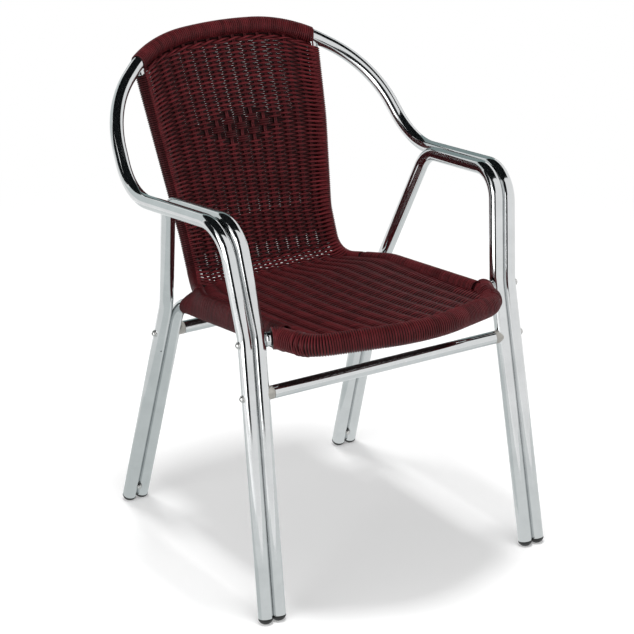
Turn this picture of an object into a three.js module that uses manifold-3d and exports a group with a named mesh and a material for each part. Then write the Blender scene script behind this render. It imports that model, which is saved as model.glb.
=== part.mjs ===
// Stacking bistro armchair: a double-tube aluminium frame with a woven wicker seat and back.
// Millimetres, +Z up. The chair faces -Y, and left and right are as seen from the front.
import * as THREE from 'three';
import { mergeVertices } from 'three/addons/utils/BufferGeometryUtils.js';
import Module from 'manifold-3d';

const wasm = await Module();
wasm.setup();

// Tube stock
const TUBE_D = 24;
const TUBE_WALL = 1.5;
const STRETCHER_D = 22;
const STRETCHER_WALL = 1.5;
const BORDER_D = 16;
const STAKE_W = 6.2;
const STAKE_T = 3.2;

// Clearances
const TOUCH_GAP = 0.3;
const SLIP_FIT = 0.25;
const HOLE_PLAY = 0.6;
const OVERRUN = 6;

// Front leg and arm of the arch tube, right half
const FRONT_FOOT_X = 273.5;
const FRONT_FOOT_Y = -273;
const KNEE_X = 257;
const KNEE_Y = -196;
const KNEE_Z = 463;
const KNEE_BEND_R = 146;
const ARM_FRONT_X = 274;
const ARM_FRONT_Y = -165;
const ARM_FRONT_Z = 646.5;
const ARCH_ARM_BEND_R = 61;
const SIDE_ARM_BEND_R = 51;
const ARM_REAR_X = 282.5;
const ARM_REAR_Y = 127;
const ARM_REAR_Z = 618.5;
const ARM_REAR_BEND_R = 116;

// Arch over the back
const SHOULDER_X = 261;
const SHOULDER_Y = 232.5;
const SHOULDER_Z = 742.5;
const SHOULDER_BEND_R = 216;
const CROWN_X = 136.5;
const CROWN_Y = 316.5;
const CROWN_Z = 818.5;
const CROWN_BEND_R = 205;
const TOP_Y = 322;
const TOP_Z = 827.4;
const TOP_BEND_R = 770;

// Rear legs
const SIDE_DROP_Y = 46;
const SIDE_DROP_BEND_R = 47;
const HIP_X = 221.5;
const HIP_Y = 129;
const HIP_Z = 418;
const HIP_BEND_R = 154;
const REAR_FOOT_X = 236.5;
const REAR_FOOT_Y = 273;
const DRAIN_Z = 324;
const DRAIN_D = 2.6;

// Seat rails, which turn down into the inner tubes of the rear legs
const RAIL_HIP_Z = 409.5;
const RAIL_HIP_BEND_R = 48;
const RAIL_TOE_X = 189.5;
const RAIL_TOE_Y = 72;
const RAIL_TOE_Z = 415.3;
const RAIL_TOE_BEND_R = 150;
const RAIL_FRONT_X = 186;
const RAIL_FRONT_Y = -234;
const RAIL_FRONT_Z = 448.4;

// Bowed front bar of the seat
const BAR_END_Z = 456.5;
const BAR_TURN_X = 200.5;
const BAR_TURN_BEND_R = 20;
const BAR_CORNER_X = 178;
const BAR_CORNER_Y = -265;
const BAR_CORNER_BEND_R = 65;
const BAR_MIDDLE_Y = -335.5;
const BAR_MIDDLE_Z = 470;
const BAR_MIDDLE_BEND_R = 190;
const BAR_INSERT_LENGTH = 5;

// Stretchers and their end ferrules
const FRONT_STRETCHER_Z = 371;
const REAR_STRETCHER_Z = 359;
const FERRULE_LENGTH = 8.5;
const FERRULE_SPIGOT = 20;

// Border rods: under the arch, down the back, round into the seat
const BORDER_TOP_X = 174.5;
const BORDER_MID_X = 162.5;
const BORDER_MID_Y = 243.5;
const BORDER_MID_Z = 661;
const BORDER_MID_BEND_R = 600;
const BORDER_LUMBAR_X = 144;
const BORDER_LUMBAR_Y = 200;
const BORDER_LUMBAR_Z = 507.5;
const BORDER_LUMBAR_BEND_R = 120;
const BORDER_HEEL_X = 140.5;
const BORDER_HEEL_Y = 164;
const BORDER_HEEL_Z = 421;
const BORDER_HEEL_BEND_R = 55;
const BORDER_MEET_Y = 48;
const BORDER_MEET_BEND_R = 80;
const BORDER_END_Y = -209;

// Wicker
const STRAND_D = 2.9;
const ARCH_WRAP_THICK = 3.6;
const ARCH_WRAP_X = 181;
const BAR_WRAP_THICK = 6.5;
const BAR_WRAP_X = 208.5;
const BORDER_WRAP_THICK = 2.8;
const BORDER_WRAP_TOP = 27;
const BORDER_WRAP_STOP = 6;
const ROLL_WALL = 2.8;
const ROLL_PLAY = 0.9;
const ROLL_ROD_PLAY = 1.6;
const WRAP_GIVE = 0.7;
const ROLL_REAR_Y = 121;
const ROLL_BEND_Y = 98;
const ROLL_FRONT_Y = -205;
const PANEL_NECK = 3.6;
const PANEL_EDGE = 15;
const PANEL_TOP = 20;
const PANEL_SPLIT_Y = 140;
const STAKES_EACH_SIDE = 6;
const BAR_RISE = 8;
const SEAT_SAG = 6;
const SEAT_STEPS = 3;

// Feet
const CAP_DOME_R = 13;
const CAP_WEAR = 1.5;
const CAP_RIM = 2.5;
const CAP_STEM = 16;
const CAP_STEM_BEVEL = 1.2;

// Fasteners
const BOLT_D = 6;
const BOLT_HEAD_D = 9.6;
const BOLT_HEAD_H = 3.4;
const BOLT_CROWN_D = 6.8;
const BOLT_RIM_H = 1.3;
const BOLT_SOCKET_D = 4.6;
const BOLT_SOCKET_DEPTH = 2;
const BOLT_GRIP = 18;
const BAR_BOLT_GRIP = 8;
const WASHER_D = 12.4;
const WASHER_T = 1.4;
const TIE_Z = 26;
const TIE_D = 4;
const TIE_HEAD_D = 8.6;
const TIE_HEAD_H = 3;
const TIE_CROWN_D = 5.6;
const TIE_RIM_H = 1.5;
const TIE_SLOT_W = 1.4;
const TIE_SLOT_DEPTH = 1.2;
const TIE_NUT_D = 8;
const TIE_NUT_H = 3.4;

// Where along a tube's length its searches and cuts begin and end
const FRONT_LEG_SHARE = 1 / 3;
const BACK_START_SHARE = 1 / 4;
const BACK_END_SHARE = 3 / 4;
const RAIL_START_SHARE = 1 / 4;
const RAIL_RUN_SHARE = 1 / 3;
const RAIL_END_SHARE = 2 / 3;
const LUMBAR_SHARE = 1 / 4;
const HEEL_SHARE = 1 / 3;

// Facets
const TUBE_SIDES = 12;
const BORE_SIDES = 8;
const THIN_SIDES = 8;
const SMALL_SIDES = 10;
const HOLE_SIDES = 8;
const CUT_SIDES = 12;
const HEX_SIDES = 6;
const SLOT_SIDES = 4;
const ROLL_SIDES = 12;
const DOME_STEPS = 2;
const BEND_SAG = 1.7;
const BEND_RUN_SHARE = 0.985;
const WELD_LENGTH = 1;
const SEARCH_STEPS = 400;
const HALVINGS = 40;
const WELD = 1e-4;
const NORMAL_PROBE = 0.5;
const NORMAL_PROBE_SHARE = 0.004;

const PAIR_PITCH = TUBE_D + TOUCH_GAP;
const TUBE_R = TUBE_D / 2;
const BORE_R = TUBE_R - TUBE_WALL;
const BORDER_R = BORDER_D / 2;
const STAKE_SIZE = new THREE.Vector2(STAKE_W / 2, STAKE_T / 2);
const STAKE_SLOT_SIZE = STAKE_SIZE.clone().addScalar(TOUCH_GAP).divideScalar(Math.cos(Math.PI / SLOT_SIDES));
const BAR_WRAP_R = TUBE_R + BAR_WRAP_THICK;
const BOLT_HOLE_R = (BOLT_D + HOLE_PLAY) / 2;
const X_AXIS = new THREE.Vector3(1, 0, 0);
const Y_AXIS = new THREE.Vector3(0, 1, 0);
const Z_AXIS = new THREE.Vector3(0, 0, 1);
const FLAT_SHARE = Math.cos(Math.PI / BORE_SIDES);

const colours = {
  aluminium: { color: 0xd7dadc, roughness: 0.16, metalness: 1 },
  wicker: { color: 0x5a2026, roughness: 0.5, metalness: 0 },
  rubber: { color: 0x161616, roughness: 0.7, metalness: 0 },
  ferrule: { color: 0xa5a196, roughness: 0.6, metalness: 0 },
  fastener: { color: 0xc9c6bf, roughness: 0.25, metalness: 1 },
};

const chair = new THREE.Group();

function addPiece(name, geometry, look) {
  const mesh = new THREE.Mesh(geometry, new THREE.MeshStandardMaterial(colours[look]));
  mesh.name = name;
  chair.add(mesh);
  return mesh;
}

function point(x, y, z) {
  return new THREE.Vector3(x, y, z);
}

function mirrored(v) {
  return point(-v.x, v.y, v.z);
}

// How much of the runs each bend takes, with two bends sharing a run that is too short for both
function bendTrims(corners, halves, radii) {
  const wanted = radii.map((radius, i) => radius / Math.tan(halves[i]));
  const room = corners.slice(1).map((corner, i) => {
    const free = corner.distanceTo(corners[i]) * BEND_RUN_SHARE;
    const used = (wanted[i - 1] || 0) + (wanted[i] || 0);
    return used > free ? free / used : 1;
  });
  return wanted.map((trim, i) => trim * Math.min(room[i], room[i + 1]));
}

// A bent tube's centre line: straight runs joined by true arcs of a given radius
class BentPath {
  constructor(corners, radii) {
    this.pieces = [];
    this.length = 0;
    const backs = radii.map((_, i) => corners[i].clone().sub(corners[i + 1]).normalize());
    const aheads = radii.map((_, i) => corners[i + 2].clone().sub(corners[i + 1]).normalize());
    const halves = radii.map((_, i) => backs[i].angleTo(aheads[i]) / 2);
    const trims = bendTrims(corners, halves, radii);
    let from = corners[0].clone();
    radii.forEach((_, i) => {
      const corner = corners[i + 1];
      const start = corner.clone().addScaledVector(backs[i], trims[i]);
      const end = corner.clone().addScaledVector(aheads[i], trims[i]);
      this.addLine(from, start);
      this.addArc(corner, start, end, backs[i], aheads[i], trims[i] * Math.tan(halves[i]), halves[i]);
      from = end;
    });
    this.addLine(from, corners[corners.length - 1]);
  }

  addLine(a, b) {
    const run = b.clone().sub(a);
    const length = run.length();
    this.pieces.push({ kind: 'line', a: a.clone(), dir: run.normalize(), start: this.length, length });
    this.length += length;
  }

  addArc(corner, start, end, back, ahead, radius, half) {
    const centre = corner.clone().addScaledVector(back.clone().add(ahead).normalize(), radius / Math.sin(half));
    const e0 = start.clone().sub(centre).normalize();
    const e1 = end.clone().sub(centre).normalize();
    const angle = e0.angleTo(e1);
    const side = e1.clone().addScaledVector(e0, -e1.dot(e0)).normalize();
    this.pieces.push({ kind: 'arc', centre, e0, side, radius, angle, start: this.length, length: radius * angle });
    this.length += radius * angle;
  }

  pieceAt(s) {
    const found = this.pieces.find((p) => s <= p.start + p.length);
    return found || this.pieces[this.pieces.length - 1];
  }

  at(s) {
    const p = this.pieceAt(s);
    const d = s - p.start;
    if (p.kind === 'line') return p.a.clone().addScaledVector(p.dir, d);
    const t = d / p.radius;
    const out = p.centre.clone().addScaledVector(p.e0, p.radius * Math.cos(t));
    return out.addScaledVector(p.side, p.radius * Math.sin(t));
  }

  tangent(s) {
    const p = this.pieceAt(s);
    if (p.kind === 'line') return p.dir.clone();
    const t = (s - p.start) / p.radius;
    return p.e0.clone().multiplyScalar(-Math.sin(t)).addScaledVector(p.side, Math.cos(t)).normalize();
  }

  // Lengths along the whole path at which a tube has a section: the ends of each straight run and
  // enough steps round each arc to stay close to it
  stations() {
    if (this.grid) return this.grid;
    this.grid = [0];
    for (const p of this.pieces) {
      const stepAngle = p.kind === 'arc' ? 2 * Math.acos(1 - BEND_SAG / p.radius) : 0;
      const steps = p.kind === 'arc' ? Math.max(1, Math.round(p.angle / stepAngle)) : 1;
      for (let k = 1; k <= steps; k += 1) this.grid.push(p.start + (p.length * k) / steps);
    }
    return this.grid;
  }

  // Section directions carried along the path without twist
  normals() {
    if (this.carried) return this.carried;
    const grid = this.stations();
    const first = this.tangent(0);
    this.carried = [first.clone().cross(first.z * first.z < 1 / 2 ? Z_AXIS : X_AXIS).normalize()];
    for (let k = 1; k < grid.length; k += 1) {
      const turn = new THREE.Quaternion().setFromUnitVectors(this.tangent(grid[k - 1]), this.tangent(grid[k]));
      this.carried.push(this.carried[k - 1].clone().applyQuaternion(turn));
    }
    return this.carried;
  }

  // A place on the faceted path, on the chord between two stations
  knot(s) {
    const grid = this.stations();
    const k = Math.max(0, Math.min(grid.length - 2, grid.findIndex((g) => g > s) - 1));
    const i = s >= grid[grid.length - 1] ? grid.length - 2 : k;
    const [a, b] = [grid[i], grid[i + 1]];
    const share = (s - a) / (b - a);
    const tangent = this.tangent(a).lerp(this.tangent(b), share).normalize();
    const normal = this.normals()[i].clone().lerp(this.normals()[i + 1], share);
    normal.addScaledVector(tangent, -normal.dot(tangent)).normalize();
    return { point: this.at(a).lerp(this.at(b), share), tangent, normal };
  }

  // The length along the path, past the start of the search, where a measure first crosses zero
  find(measure, from = 0, to = this.length) {
    let low = from;
    for (let k = 1; k <= SEARCH_STEPS; k += 1) {
      const high = from + ((to - from) * k) / SEARCH_STEPS;
      if (measure(this.at(low)) * measure(this.at(high)) <= 0) {
        let a = low;
        let b = high;
        for (let i = 0; i < HALVINGS; i += 1) {
          const m = (a + b) / 2;
          if (measure(this.at(a)) * measure(this.at(m)) <= 0) b = m;
          else a = m;
        }
        return (a + b) / 2;
      }
      low = high;
    }
    throw new Error('no crossing on the path');
  }
}

// A stretch of a path as a curve whose even steps fall on its stations
class StationCurve extends THREE.Curve {
  constructor(path, s0, s1) {
    super();
    const inside = path.stations().filter((s) => s > s0 + WELD_LENGTH && s < s1 - WELD_LENGTH);
    this.knots = [s0, ...inside, s1].map((s) => path.knot(s));
  }

  place(t) {
    const place = Math.min(1, Math.max(0, t)) * (this.knots.length - 1);
    const k = Math.min(this.knots.length - 2, Math.floor(place));
    return [this.knots[k], this.knots[k + 1], place - k];
  }

  getPoint(t) {
    const [a, b, share] = this.place(t);
    return a.point.clone().lerp(b.point, share);
  }

  getTangent(t) {
    const [a, b, share] = this.place(t);
    return a.tangent.clone().lerp(b.tangent, share).normalize();
  }

  getUtoTmapping(u) {
    return u;
  }

  computeFrenetFrames() {
    const tangents = this.knots.map((k) => k.tangent.clone());
    const normals = this.knots.map((k) => k.normal.clone());
    const binormals = tangents.map((t, i) => t.clone().cross(normals[i]));
    return { tangents, normals, binormals };
  }
}

function circleShape(radius, sides) {
  const pts = [];
  for (let k = 0; k < sides; k += 1) {
    const a = (2 * Math.PI * k) / sides;
    pts.push(new THREE.Vector2(radius * Math.cos(a), radius * Math.sin(a)));
  }
  return pts;
}

function tubeAlong(path, s0, s1, radius, bore, sides, boreSides = sides) {
  const shape = new THREE.Shape(circleShape(radius, sides));
  if (bore > 0) shape.holes.push(new THREE.Path(circleShape(bore, boreSides)));
  const curve = new StationCurve(path, s0, s1);
  return new THREE.ExtrudeGeometry(shape, {
    steps: curve.knots.length - 1,
    extrudePath: curve,
    bevelEnabled: false,
  });
}

function positionsOnly(geometry) {
  const bare = new THREE.BufferGeometry();
  bare.setAttribute('position', geometry.getAttribute('position').clone());
  if (geometry.index) bare.setIndex(geometry.index.clone());
  return mergeVertices(bare, WELD);
}

function signedVolume(geometry) {
  const pos = geometry.getAttribute('position');
  const index = geometry.index.array;
  const a = new THREE.Vector3();
  const b = new THREE.Vector3();
  const c = new THREE.Vector3();
  let total = 0;
  for (let i = 0; i < index.length; i += 3) {
    a.fromBufferAttribute(pos, index[i]);
    b.fromBufferAttribute(pos, index[i + 1]);
    c.fromBufferAttribute(pos, index[i + 2]);
    total += a.dot(b.cross(c));
  }
  return total / 6;
}

function toSolid(geometry) {
  const merged = positionsOnly(geometry);
  const source = merged.index.array;
  const inside = signedVolume(merged) < 0;
  const tris = [];
  for (let i = 0; i < source.length; i += 3) {
    const [p, q, r] = [source[i], source[i + 1], source[i + 2]];
    if (p === q || q === r || p === r) continue;
    if (inside) tris.push(p, r, q);
    else tris.push(p, q, r);
  }
  const mesh = new wasm.Mesh({
    numProp: 3,
    vertProperties: Float32Array.from(merged.getAttribute('position').array),
    triVerts: Uint32Array.from(tris),
  });
  return new wasm.Manifold(mesh);
}

function toGeometry(solid) {
  const mesh = solid.getMesh();
  const geometry = new THREE.BufferGeometry();
  geometry.setAttribute('position', new THREE.BufferAttribute(mesh.vertProperties, 3));
  geometry.setIndex(new THREE.BufferAttribute(mesh.triVerts, 1));
  geometry.computeVertexNormals();
  return geometry;
}

function cutAll(solid, tools) {
  return tools.reduce((left, tool) => left.subtract(tool), solid);
}

function mirrorX(solid) {
  return solid.mirror([1, 0, 0]);
}

// A round bar from one point to another
function rod(a, b, radius, sides) {
  const run = b.clone().sub(a);
  const geometry = new THREE.CylinderGeometry(radius, radius, run.length(), sides);
  geometry.applyQuaternion(new THREE.Quaternion().setFromUnitVectors(Y_AXIS, run.clone().normalize()));
  const middle = a.clone().add(b).multiplyScalar(0.5);
  geometry.translate(middle.x, middle.y, middle.z);
  return geometry;
}

// A turned piece whose profile runs along an axis from a base point
function turned(profile, base, axis, sides) {
  const geometry = new THREE.LatheGeometry(profile, sides);
  geometry.applyQuaternion(new THREE.Quaternion().setFromUnitVectors(Y_AXIS, axis.clone().normalize()));
  geometry.translate(base.x, base.y, base.z);
  return geometry;
}

function indexed(verts, tris) {
  const geometry = new THREE.BufferGeometry();
  geometry.setAttribute('position', new THREE.Float32BufferAttribute(verts, 3));
  geometry.setIndex(tris);
  return geometry;
}

// A solid through a row of sections. Each section is one outer loop and any number of inner loops,
// and the plan gives the same loops flat, counter-clockwise, for closing the two ends.
function loft(sections, plan) {
  const verts = [];
  for (const section of sections) {
    for (const loop of section) {
      for (const p of loop) verts.push(p.x, p.y, p.z);
    }
  }
  const counts = sections[0].map((loop) => loop.length);
  const stride = counts.reduce((sum, n) => sum + n, 0);
  const tris = [];
  let base = 0;
  counts.forEach((n, which) => {
    for (let r = 0; r < sections.length - 1; r += 1) {
      for (let k = 0; k < n; k += 1) {
        const a = r * stride + base + k;
        const b = r * stride + base + ((k + 1) % n);
        const [c, d] = [b + stride, a + stride];
        if (which === 0) tris.push(a, b, c, a, c, d);
        else tris.push(a, c, b, a, d, c);
      }
    }
    base += n;
  });
  const [outline, ...holes] = plan;
  const flat = [...outline, ...holes.flat()];
  const last = (sections.length - 1) * stride;
  for (const [a, b, c] of THREE.ShapeUtils.triangulateShape(outline, holes)) {
    const turn = flat[b].clone().sub(flat[a]).cross(flat[c].clone().sub(flat[a]));
    const [p, q] = turn > 0 ? [b, c] : [c, b];
    tris.push(a, q, p, a + last, p + last, q + last);
  }
  const geometry = new THREE.BufferGeometry();
  geometry.setAttribute('position', new THREE.Float32BufferAttribute(verts, 3));
  geometry.setIndex(tris);
  return geometry;
}

// Centre lines
const frontFoot = point(FRONT_FOOT_X, FRONT_FOOT_Y, 0);
const knee = point(KNEE_X, KNEE_Y, KNEE_Z);
const armFront = point(ARM_FRONT_X, ARM_FRONT_Y, ARM_FRONT_Z);
const armRear = point(ARM_REAR_X, ARM_REAR_Y, ARM_REAR_Z);
const shoulder = point(SHOULDER_X, SHOULDER_Y, SHOULDER_Z);
const crown = point(CROWN_X, CROWN_Y, CROWN_Z);
const archTop = point(0, TOP_Y, TOP_Z);
const archHalf = [frontFoot, knee, armFront, armRear, shoulder, crown];
const archHalfRadii = [KNEE_BEND_R, ARCH_ARM_BEND_R, ARM_REAR_BEND_R, SHOULDER_BEND_R, CROWN_BEND_R];
const archPath = new BentPath(
  [...archHalf, archTop, ...archHalf.map(mirrored).reverse()],
  [...archHalfRadii, TOP_BEND_R, ...[...archHalfRadii].reverse()],
);

const inward = point(-PAIR_PITCH, 0, 0);
const dropShare = (SIDE_DROP_Y - ARM_FRONT_Y) / (ARM_REAR_Y - ARM_FRONT_Y);
const sideDrop = armFront.clone().lerp(armRear, dropShare).add(inward);
const hip = point(HIP_X, HIP_Y, HIP_Z);
const rearFoot = point(REAR_FOOT_X, REAR_FOOT_Y, 0);
const sideCorners = [frontFoot, knee, armFront].map((p) => p.clone().add(inward));
const sidePath = new BentPath(
  [...sideCorners, sideDrop, hip, rearFoot],
  [KNEE_BEND_R, SIDE_ARM_BEND_R, SIDE_DROP_BEND_R, HIP_BEND_R],
);

const rearFootInner = rearFoot.clone().add(inward);
const hipInner = hip.clone().add(inward);
const railHip = rearFootInner.clone().lerp(hipInner, RAIL_HIP_Z / HIP_Z);
const railToe = point(RAIL_TOE_X, RAIL_TOE_Y, RAIL_TOE_Z);
const railFront = point(RAIL_FRONT_X, RAIL_FRONT_Y, RAIL_FRONT_Z);
const railPath = new BentPath([rearFootInner, railHip, railToe, railFront], [RAIL_HIP_BEND_R, RAIL_TOE_BEND_R]);

function atHeight(path, z, from = 0) {
  return path.at(path.find((p) => p.z - z, from));
}

// The point of the faceted path at a depth, walking on from a given length
function facetAtDepth(path, y, from) {
  const grid = path.stations().filter((s) => s >= from).map((s) => path.at(s));
  const k = grid.findIndex((p, i) => i > 0 && (grid[i - 1].y - y) * (p.y - y) <= 0);
  return grid[k - 1].clone().lerp(grid[k], (y - grid[k - 1].y) / (grid[k].y - grid[k - 1].y));
}

const barEnd = atHeight(sidePath, BAR_END_Z);
const barHalf = [
  barEnd,
  point(BAR_TURN_X, barEnd.y, BAR_END_Z),
  point(BAR_CORNER_X, BAR_CORNER_Y, BAR_END_Z),
];
const barPath = new BentPath(
  [...barHalf, point(0, BAR_MIDDLE_Y, BAR_MIDDLE_Z), ...barHalf.map(mirrored).reverse()],
  [BAR_TURN_BEND_R, BAR_CORNER_BEND_R, BAR_MIDDLE_BEND_R, BAR_CORNER_BEND_R, BAR_TURN_BEND_R],
);

// The border rod lies on the rail at the sides of the seat
const BORDER_LIFT = TUBE_R + BORDER_R + TOUCH_GAP;
const railRun = railFront.clone().sub(railToe);
const borderLift = point(0, railRun.z, -railRun.y).normalize().multiplyScalar(BORDER_LIFT);
const aboveRail = (y) => railToe.clone().addScaledVector(railRun, (y - RAIL_TOE_Y) / railRun.y).add(borderLift);
const borderPath = new BentPath(
  [
    archPath.at(archPath.find((p) => p.x - BORDER_TOP_X, archPath.length * BACK_START_SHARE)),
    point(BORDER_MID_X, BORDER_MID_Y, BORDER_MID_Z),
    point(BORDER_LUMBAR_X, BORDER_LUMBAR_Y, BORDER_LUMBAR_Z),
    point(BORDER_HEEL_X, BORDER_HEEL_Y, BORDER_HEEL_Z),
    aboveRail(BORDER_MEET_Y),
    aboveRail(BORDER_END_Y),
  ],
  [BORDER_MID_BEND_R, BORDER_LUMBAR_BEND_R, BORDER_HEEL_BEND_R, BORDER_MEET_BEND_R],
);

// Bolt lines run across the chair through both tubes of a leg
const sideRearAt = (z) => atHeight(sidePath, z, sidePath.length / 2);
const boltLines = {
  front_upper: {
    y: barEnd.y,
    z: BAR_END_Z,
    outerX: atHeight(archPath, BAR_END_Z).x,
    innerX: barEnd.x,
    grip: BAR_BOLT_GRIP,
  },
  front_lower: {
    y: atHeight(sidePath, FRONT_STRETCHER_Z).y,
    z: FRONT_STRETCHER_Z,
    outerX: atHeight(archPath, FRONT_STRETCHER_Z).x,
    innerX: atHeight(sidePath, FRONT_STRETCHER_Z).x,
    grip: BOLT_GRIP,
  },
  rear: {
    y: atHeight(railPath, REAR_STRETCHER_Z).y,
    z: REAR_STRETCHER_Z,
    outerX: sideRearAt(REAR_STRETCHER_Z).x,
    innerX: atHeight(railPath, REAR_STRETCHER_Z).x,
    grip: BOLT_GRIP,
  },
};

function onLine(line, x) {
  return point(x, line.y, line.z);
}

function boltHole(line, fromX, toX) {
  return toSolid(rod(onLine(line, fromX), onLine(line, toX), BOLT_HOLE_R, HOLE_SIDES));
}

function legHole(line) {
  return boltHole(line, line.outerX + TUBE_R + OVERRUN, line.innerX - TUBE_R - OVERRUN);
}

// Room round a tube for whatever is cut to meet it, with the gap measured to the flats
function roomRound(path, radius, s0 = 0, s1 = path.length) {
  const reach = (radius + TOUCH_GAP) / Math.cos(Math.PI / CUT_SIDES);
  return toSolid(tubeAlong(path, s0, s1, reach, 0, CUT_SIDES));
}

// Feet: every tube end stands on a domed cap whose crown is flat on the floor
const CAP_SEAT = CAP_DOME_R - CAP_WEAR;
const CAP_SHOULDER = Math.sqrt(CAP_DOME_R ** 2 - TUBE_R ** 2);
const CAP_STEM_R = BORE_R * FLAT_SHARE - SLIP_FIT;

function footFrame(foot, up) {
  const centre = foot.clone().addScaledVector(up, CAP_SEAT / up.z);
  return { up, centre, tubeStart: CAP_SEAT / up.z - CAP_SHOULDER + CAP_RIM + TOUCH_GAP };
}

function footCap(frame) {
  const profile = [new THREE.Vector2(0, -CAP_DOME_R)];
  const rimAngle = Math.asin(TUBE_R / CAP_DOME_R);
  for (let k = 1; k <= DOME_STEPS; k += 1) {
    const a = (rimAngle * (k + 1)) / (DOME_STEPS + 1);
    profile.push(new THREE.Vector2(CAP_DOME_R * Math.sin(a), -CAP_DOME_R * Math.cos(a)));
  }
  const rimTop = CAP_RIM - CAP_SHOULDER;
  profile.push(new THREE.Vector2(TUBE_R, rimTop));
  profile.push(new THREE.Vector2(CAP_STEM_R, rimTop));
  profile.push(new THREE.Vector2(CAP_STEM_R, rimTop + CAP_STEM));
  profile.push(new THREE.Vector2(CAP_STEM_R - CAP_STEM_BEVEL, rimTop + CAP_STEM + CAP_STEM_BEVEL));
  profile.push(new THREE.Vector2(0, rimTop + CAP_STEM + CAP_STEM_BEVEL));
  const cap = toSolid(turned(profile, frame.centre, frame.up, TUBE_SIDES));
  const floor = new THREE.BoxGeometry(TUBE_D * 2, TUBE_D * 2, TUBE_D);
  floor.translate(frame.centre.x, frame.centre.y, -TUBE_D / 2);
  return cap.subtract(toSolid(floor));
}

const feet = {
  front_outer: footFrame(archPath.at(0), archPath.tangent(0)),
  front_inner: footFrame(sidePath.at(0), sidePath.tangent(0)),
  rear_outer: footFrame(sidePath.at(sidePath.length), sidePath.tangent(sidePath.length).negate()),
  rear_inner: footFrame(railPath.at(0), railPath.tangent(0)),
};

// Tie screws clamp each pair of rear leg tubes at the seam just above the feet
const tieCentre = sideRearAt(TIE_Z).add(atHeight(railPath, TIE_Z)).multiplyScalar(1 / 2);
const grooveDepth = (radius) => Math.sqrt(TUBE_R ** 2 - (PAIR_PITCH / 2 - radius) ** 2) + TOUCH_GAP;
const tieFront = tieCentre.clone().add(point(0, -grooveDepth(TIE_HEAD_D / 2), 0));
const tieBack = tieCentre.clone().add(point(0, grooveDepth(TIE_NUT_D / 2), 0));

function tieNotch() {
  const start = tieCentre.clone().add(point(0, -TUBE_D, 0));
  const end = tieCentre.clone().add(point(0, TUBE_D, 0));
  return toSolid(rod(start, end, (TIE_D + HOLE_PLAY) / 2, HOLE_SIDES));
}

function tieScrew() {
  const head = toSolid(turned([
    new THREE.Vector2(0, -TIE_HEAD_H),
    new THREE.Vector2(TIE_CROWN_D / 2, -TIE_HEAD_H),
    new THREE.Vector2(TIE_HEAD_D / 2, -TIE_RIM_H),
    new THREE.Vector2(TIE_HEAD_D / 2, 0),
    new THREE.Vector2(TIE_D / 2, 0),
    new THREE.Vector2(TIE_D / 2, tieBack.y - tieFront.y + TIE_NUT_H),
    new THREE.Vector2(0, tieBack.y - tieFront.y + TIE_NUT_H),
  ], tieFront, Y_AXIS, SMALL_SIDES));
  const slot = new THREE.BoxGeometry(TIE_HEAD_D * 2, TIE_SLOT_DEPTH * 2, TIE_SLOT_W);
  slot.translate(tieFront.x, tieFront.y - TIE_HEAD_H, tieFront.z);
  const nutEnd = tieBack.clone().add(point(0, TIE_NUT_H, 0));
  const nut = toSolid(rod(tieBack, nutEnd, TIE_NUT_D / 2, HEX_SIDES));
  return head.add(nut).subtract(toSolid(slot));
}

// The frame
function archTube() {
  const start = feet.front_outer.tubeStart;
  const tube = toSolid(tubeAlong(archPath, start, archPath.length - start, TUBE_R, BORE_R, TUBE_SIDES, BORE_SIDES));
  const holes = [legHole(boltLines.front_upper), legHole(boltLines.front_lower)];
  return cutAll(tube, [...holes, ...holes.map(mirrorX)]);
}

function sideTube() {
  const start = feet.front_inner.tubeStart;
  const end = sidePath.length - feet.rear_outer.tubeStart;
  const tube = toSolid(tubeAlong(sidePath, start, end, TUBE_R, BORE_R, TUBE_SIDES, BORE_SIDES));
  const drainAt = sideRearAt(DRAIN_Z);
  const drain = rod(drainAt, drainAt.clone().add(point(0, -TUBE_D, 0)), DRAIN_D / 2, HOLE_SIDES);
  return cutAll(tube, [...Object.values(boltLines).map(legHole), tieNotch(), toSolid(drain)]);
}

function seatRail() {
  const start = feet.rear_inner.tubeStart;
  const tube = toSolid(tubeAlong(railPath, start, railPath.length, TUBE_R, BORE_R, TUBE_SIDES, BORE_SIDES));
  return cutAll(tube, [legHole(boltLines.rear), tieNotch(), roomRound(barPath, TUBE_R, 0, barPath.length / 2)]);
}

function frontBar() {
  const bar = toSolid(tubeAlong(barPath, 0, barPath.length, TUBE_R, BORE_R, TUBE_SIDES, BORE_SIDES));
  const leg = roomRound(sidePath, TUBE_R, 0, sidePath.length * FRONT_LEG_SHARE);
  return cutAll(bar, [leg, mirrorX(leg)]);
}

function barInsert() {
  const start = TUBE_R + TOUCH_GAP;
  const end = start + BAR_INSERT_LENGTH;
  const plug = toSolid(tubeAlong(barPath, start, end, BORE_R - SLIP_FIT, 0, BORE_SIDES));
  const line = boltLines.front_upper;
  return cutAll(plug, [legHole(line), roomRound(sidePath, TUBE_R, 0, sidePath.length * FRONT_LEG_SHARE)]);
}

function ferrule(line) {
  const face = line.innerX - TUBE_R;
  const collarEnd = face - FERRULE_LENGTH;
  const tip = collarEnd - FERRULE_SPIGOT;
  const spigotR = (STRETCHER_D / 2 - STRETCHER_WALL) * FLAT_SHARE - SLIP_FIT;
  const collar = toSolid(rod(onLine(line, line.innerX), onLine(line, collarEnd), STRETCHER_D / 2, SMALL_SIDES));
  const spigot = toSolid(rod(onLine(line, face), onLine(line, tip), spigotR, SMALL_SIDES));
  const leg = line === boltLines.rear
    ? roomRound(railPath, TUBE_R)
    : roomRound(sidePath, TUBE_R, 0, sidePath.length * FRONT_LEG_SHARE);
  return cutAll(collar.add(spigot), [leg, boltHole(line, line.outerX, tip - OVERRUN)]);
}

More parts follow.
